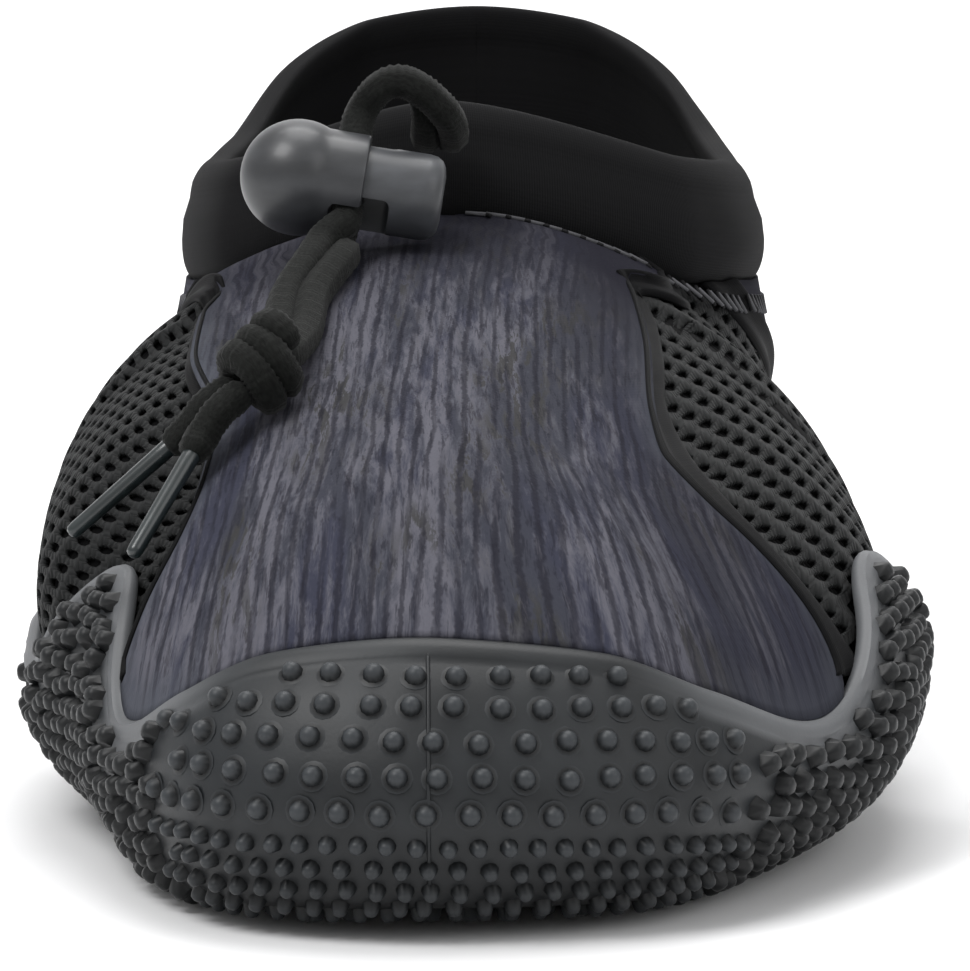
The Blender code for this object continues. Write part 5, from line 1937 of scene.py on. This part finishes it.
# The seam of the drawcord's tunnel: its place and width as shares of the way up the band, and its depth.
TUNNEL_SEAM, TUNNEL_SEAM_WIDTH, TUNNEL_SEAM_DEPTH = 0.70, 0.045, 0.5 * MM
# The power that squares the band's round section.
SQUARENESS = 0.55
# The band is sewn on: its foot closes over the top edges of the lining and the panels.
COLLAR_SUNK = 0.7 * MM


def build_collar():
    def rounded(value):
        return math.copysign(abs(value) ** SQUARENESS, value)

    def place(u, v):
        ring = u * 2 * THROAT_ROW
        turn = 2 * math.pi * v
        height = collar_height(ring)
        up = 0.5 + 0.5 * rounded(math.sin(turn))
        across = 0.5 * COLLAR_THICKNESS * rounded(math.cos(turn))
        middle = COLLAR_OVERHANG - COLLAR_THICKNESS / 2
        bulge = COLLAR_BULGE * (1 - (2 * up - 1) ** 2)
        out = middle + across + bulge - COLLAR_LEAN * up
        outer = smooth_share(across / (COLLAR_THICKNESS / 2))
        groove = math.exp(-(((up - TUNNEL_SEAM) / TUNNEL_SEAM_WIDTH) ** 2)) * TUNNEL_SEAM_DEPTH
        for crease in CREASES:
            off = (ring - crease.ring + THROAT_ROW) % (2 * THROAT_ROW) - THROAT_ROW
            spread = (off / crease.width) ** 2 + ((up - crease.up) / crease.height) ** 2
            groove += crease.depth * math.exp(-spread)
        soft = 0.35 * MM * noise.noise(Vector((ring * 1.3, up * 1.5, 4.0)))
        out += (soft - groove) * (1 if across > 0 else -1) * (0.35 + 0.65 * abs(math.cos(turn)))
        flat = max(0.1, math.cos(LEAN(row_of_collar(ring))))
        over_panel = (PANEL_GAP + PANEL_THICKNESS + GAP) * outer * flat
        rise = height * up + (over_panel - COLLAR_SUNK) * (1 - up)
        return collar_seam(ring) + seam_outward(ring) * out + Vector((0, 0, rise))

    form = draped(COLLAR_COLUMNS, COLLAR_BANDS, place, even_chart(0.30, 0.042))
    bmesh.ops.recalc_face_normals(form, faces=form.faces)
    cloth = knit("collar_knit", colours().collar, 2300, 1700, 0.06 * MM, 0.8)
    collar = add_piece("collar_band", form, cloth, replaces=["collar"])


# Between the heel panel's front and the vamp's edge only the bindings lie under the stitches.
PANELS_PART = {0: 4.6, -1: 4.8, 1: 5.35}
BESIDE_PANELS = 0.85 * MM
STITCH_LENGTH = 2.4 * MM
STITCH_DEPTH = 3.9 * MM
SEAM_STEPS = 1600


def build_overlock():
    """The overlock stitches where the collar is sewn on: short slanted threads, light and dark by turns."""
    tones = (stitch_thread("light_thread", (0.085, 0.085, 0.092)), stitch_thread("dark_thread", (0.004, 0.004, 0.005)))
    thread, pitch = sizes().thread, sizes().stitch_pitch
    capsule = nub_mesh(thread, STITCH_LENGTH, 0.9, thread * 0.2, segments=6)
    forms = (bmesh.new(), bmesh.new())
    for side in (-1, 1):
        rows = [THROAT_ROW * step / SEAM_STEPS for step in range(SEAM_STEPS)]
        walks = walk(last_point(ring_of(side, row), 1.0) for row in rows)
        target, index = pitch / 2, 0
        for row, (walked, _) in zip(rows, walks):
            if walked < target:
                continue
            target += pitch
            ring = ring_of(side, row)
            share = share_below_crest(ring, STITCH_DEPTH)
            normal = last_normal(ring, share)
            up = wall_way(ring, share)
            lean = (up + up.cross(normal) * (0.55 if index % 2 else -0.35)).normalized()
            on_panel = row < PANELS_PART[0] or row > PANELS_PART[side]
            height = (PANEL_OUTER if on_panel else BESIDE_PANELS) + thread * 0.25
            seat = offset_point(ring, share, height) - lean * STITCH_LENGTH / 2
            plant(forms[index % 2], capsule, seat, lean, 0.0)
            index += 1
    for form, tone, word in zip(forms, tones, ("light", "dark")):
        add_piece(f"overlock_{word}", form, tone)


def build_insole():
    heights = (0.0, 0.0, 0.15, 0.5, 0.85, 1.0, 1.0, 1.0, 1.0, 1.0)
    reach = (0.0, 0.985, 1.0, 1.0, 1.0, 0.985, 0.93, 0.7, 0.35, 0.0)
    bed = FLOOR_OF_CUP + GAP + INSOLE_LIFT

    def place(u, v):
        ring = u * RING_LENGTH
        band = round(v * (len(heights) - 1))
        middle, edge = spine(ring), last_point(ring, 0.0)
        inward = Vector((middle.x - edge.x, middle.y - edge.y, 0)).normalized()
        edge = edge + inward * INSOLE_CLEARANCE
        middle.z = bed + lift(ring, 0.0)
        edge.z = bed + lift(ring)
        point = middle.lerp(edge, reach[band])
        return point + Vector((0, 0, INSOLE_THICKNESS * heights[band]))

    form = draped(200, len(heights) - 1, place, even_chart(0.5, 0.09))
    bmesh.ops.recalc_face_normals(form, faces=form.faces)
    cloth = knit("insole_cloth", (0.010, 0.010, 0.011), 700, 500, 0.12 * MM, 0.85)
    insole = add_piece("insole_bed", form, cloth, replaces=["insole"])


# Camera, floor and lights.
CAMERA_PLACE = (0.0, -0.624, 0.100)
CAMERA_TARGET = (0.0, -0.0282, 0.0338)
CAMERA_LENS = 187.05
CAMERA_SHIFT = (0.0093, 0.0082)

Lamp = namedtuple("Lamp", "name place target size power")
LAMPS = (
    Lamp("key", (-0.60, -0.55, 1.15), (0, -0.03, 0.03), 0.6, 11.0),
    Lamp("fill", (0.95, -0.65, 0.75), (0, 0, 0.03), 0.9, 3.5),
    Lamp("top", (0.05, 0.25, 1.3), (0, 0, 0.03), 0.8, 8.0),
    Lamp("backdrop", (0.0, 0.75, 1.6), (0, 2.0, 0.7), 1.2, 22.0),
)


def aim(thing, target):
    thing.rotation_euler = (Vector(target) - thing.location).to_track_quat("-Z", "Y").to_euler()


def build_stage():
    scene = bpy.context.scene
    data = bpy.data.cameras.new("photo_camera")
    data.lens = CAMERA_LENS
    data.shift_x, data.shift_y = CAMERA_SHIFT
    camera = placed("photo_camera", data)
    camera.location = CAMERA_PLACE
    aim(camera, CAMERA_TARGET)
    scene.camera = camera

    for lamp in LAMPS:
        light = bpy.data.lights.new(lamp.name, "AREA")
        light.size = lamp.size
        light.energy = lamp.power
        holder = placed(lamp.name, light)
        holder.location = lamp.place
        aim(holder, lamp.target)

    width, front, back, radius, top = 3.0, -1.6, 1.4, 0.6, 2.4
    level, bend = back - front, radius * math.pi / 2

    def place(u, v):
        """The floor runs level, bends and then stands upright behind the shoe."""
        way = v * (level + bend + top)
        x = (u - 0.5) * 2 * width
        if way < level:
            return Vector((x, front + way, 0))
        turn = (way - level) / radius
        if turn < math.pi / 2:
            return Vector((x, back + radius * math.sin(turn), radius * (1 - math.cos(turn))))
        return Vector((x, back + radius, radius + way - level - bend))

    form = draped(6, 90, place, even_chart(1.0, 1.0))
    form.normal_update()
    if form.faces[:][0].normal.z < 0:
        bmesh.ops.reverse_faces(form, faces=form.faces)
    mesh = mesh_from(form, "floor")
    mesh.shade_smooth()
    floor = placed("floor", mesh)
    pale = Shader("pale_floor", (0.86, 0.86, 0.865), 0.75)
    mesh.materials.append(pale.material)

    world = bpy.data.worlds.new("studio")
    world.use_nodes = True
    world.node_tree.nodes["Background"].inputs["Color"].default_value = (1, 1, 1, 1)
    world.node_tree.nodes["Background"].inputs["Strength"].default_value = 0.62
    scene.world = world
    scene.view_settings.view_transform = "Standard"


class BuildStep:
    """What the steps share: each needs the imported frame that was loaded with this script."""

    bl_options = {"REGISTER", "UNDO"}
    builders = ()

    def execute(self, context):
        before = len(bpy.data.objects)
        for build in self.builders:
            build()
        if len(bpy.data.objects) == before:
            raise RuntimeError(f"{self.bl_label} made nothing")
        return {"FINISHED"}


class BuildStage(BuildStep, bpy.types.Operator):
    """Place the camera, the pale floor and the soft lights"""

    bl_idname = "water_shoe.stage"
    bl_label = "Stage"
    builders = (build_stage,)


class BuildDrawcord(BuildStep, bpy.types.Operator):
    """Lay the drawcord's two strands, its knot, tails and tips"""

    bl_idname = "water_shoe.drawcord"
    bl_label = "Drawcord"
    builders = (build_drawcord,)


class BuildLock(BuildStep, bpy.types.Operator):
    """Turn the cord lock's body and its button"""

    bl_idname = "water_shoe.lock"
    bl_label = "Cord lock"
    builders = (build_lock,)


class BuildSole(BuildStep, bpy.types.Operator):
    """Mould the rubber cup with its nubs and tread"""

    bl_idname = "water_shoe.sole"
    bl_label = "Sole"
    builders = (build_cup, build_nubs, build_tread, build_mould_line)


class BuildUpper(BuildStep, bpy.types.Operator):
    """Drape the lining and knit the open mesh over it"""

    bl_idname = "water_shoe.upper"
    bl_label = "Lining and mesh"
    builders = (build_lining, build_mesh)


class BuildPanels(BuildStep, bpy.types.Operator):
    """Lay the printed panels and their bindings"""

    bl_idname = "water_shoe.panels"
    bl_label = "Printed panels"
    builders = (build_vamp, build_heel_panel, build_bindings)


class BuildCollar(BuildStep, bpy.types.Operator):
    """Pad the collar band and sew it on"""

    bl_idname = "water_shoe.collar"
    bl_label = "Collar"
    builders = (build_collar, build_overlock)


class BuildInsole(BuildStep, bpy.types.Operator):
    """Lay the foot bed"""

    bl_idname = "water_shoe.insole"
    bl_label = "Insole"
    builders = (build_insole,)


STEPS = (BuildStage, BuildDrawcord, BuildLock, BuildSole, BuildUpper, BuildPanels, BuildCollar, BuildInsole)


class WaterShoePanel(bpy.types.Panel):
    """Lists the steps and settings of the water shoe"""

    bl_idname = "VIEW3D_PT_water_shoe"
    bl_label = "Water Shoe"
    bl_space_type = "VIEW_3D"
    bl_region_type = "UI"
    bl_category = "Water Shoe"

    def draw(self, context):
        layout = self.layout
        for step in STEPS:
            layout.operator(step.bl_idname)
        for group in (context.scene.water_shoe_sizes, context.scene.water_shoe_colours):
            box = layout.box()
            for name in group.__annotations__:
                box.prop(group, name)


CLASSES = (ShoeSizes, ShoeColours, *STEPS, WaterShoePanel)


def register():
    for item in CLASSES:
        bpy.utils.register_class(item)
    bpy.types.Scene.water_shoe_sizes = bpy.props.PointerProperty(type=ShoeSizes)
    bpy.types.Scene.water_shoe_colours = bpy.props.PointerProperty(type=ShoeColours)


def unregister():
    del bpy.types.Scene.water_shoe_colours
    del bpy.types.Scene.water_shoe_sizes
    for item in reversed(CLASSES):
        bpy.utils.unregister_class(item)


def main():
    register()
    for step in STEPS:
        name = step.bl_idname.split(".")[1]
        getattr(bpy.ops.water_shoe, name)()


if __name__ == "__main__":
    main()
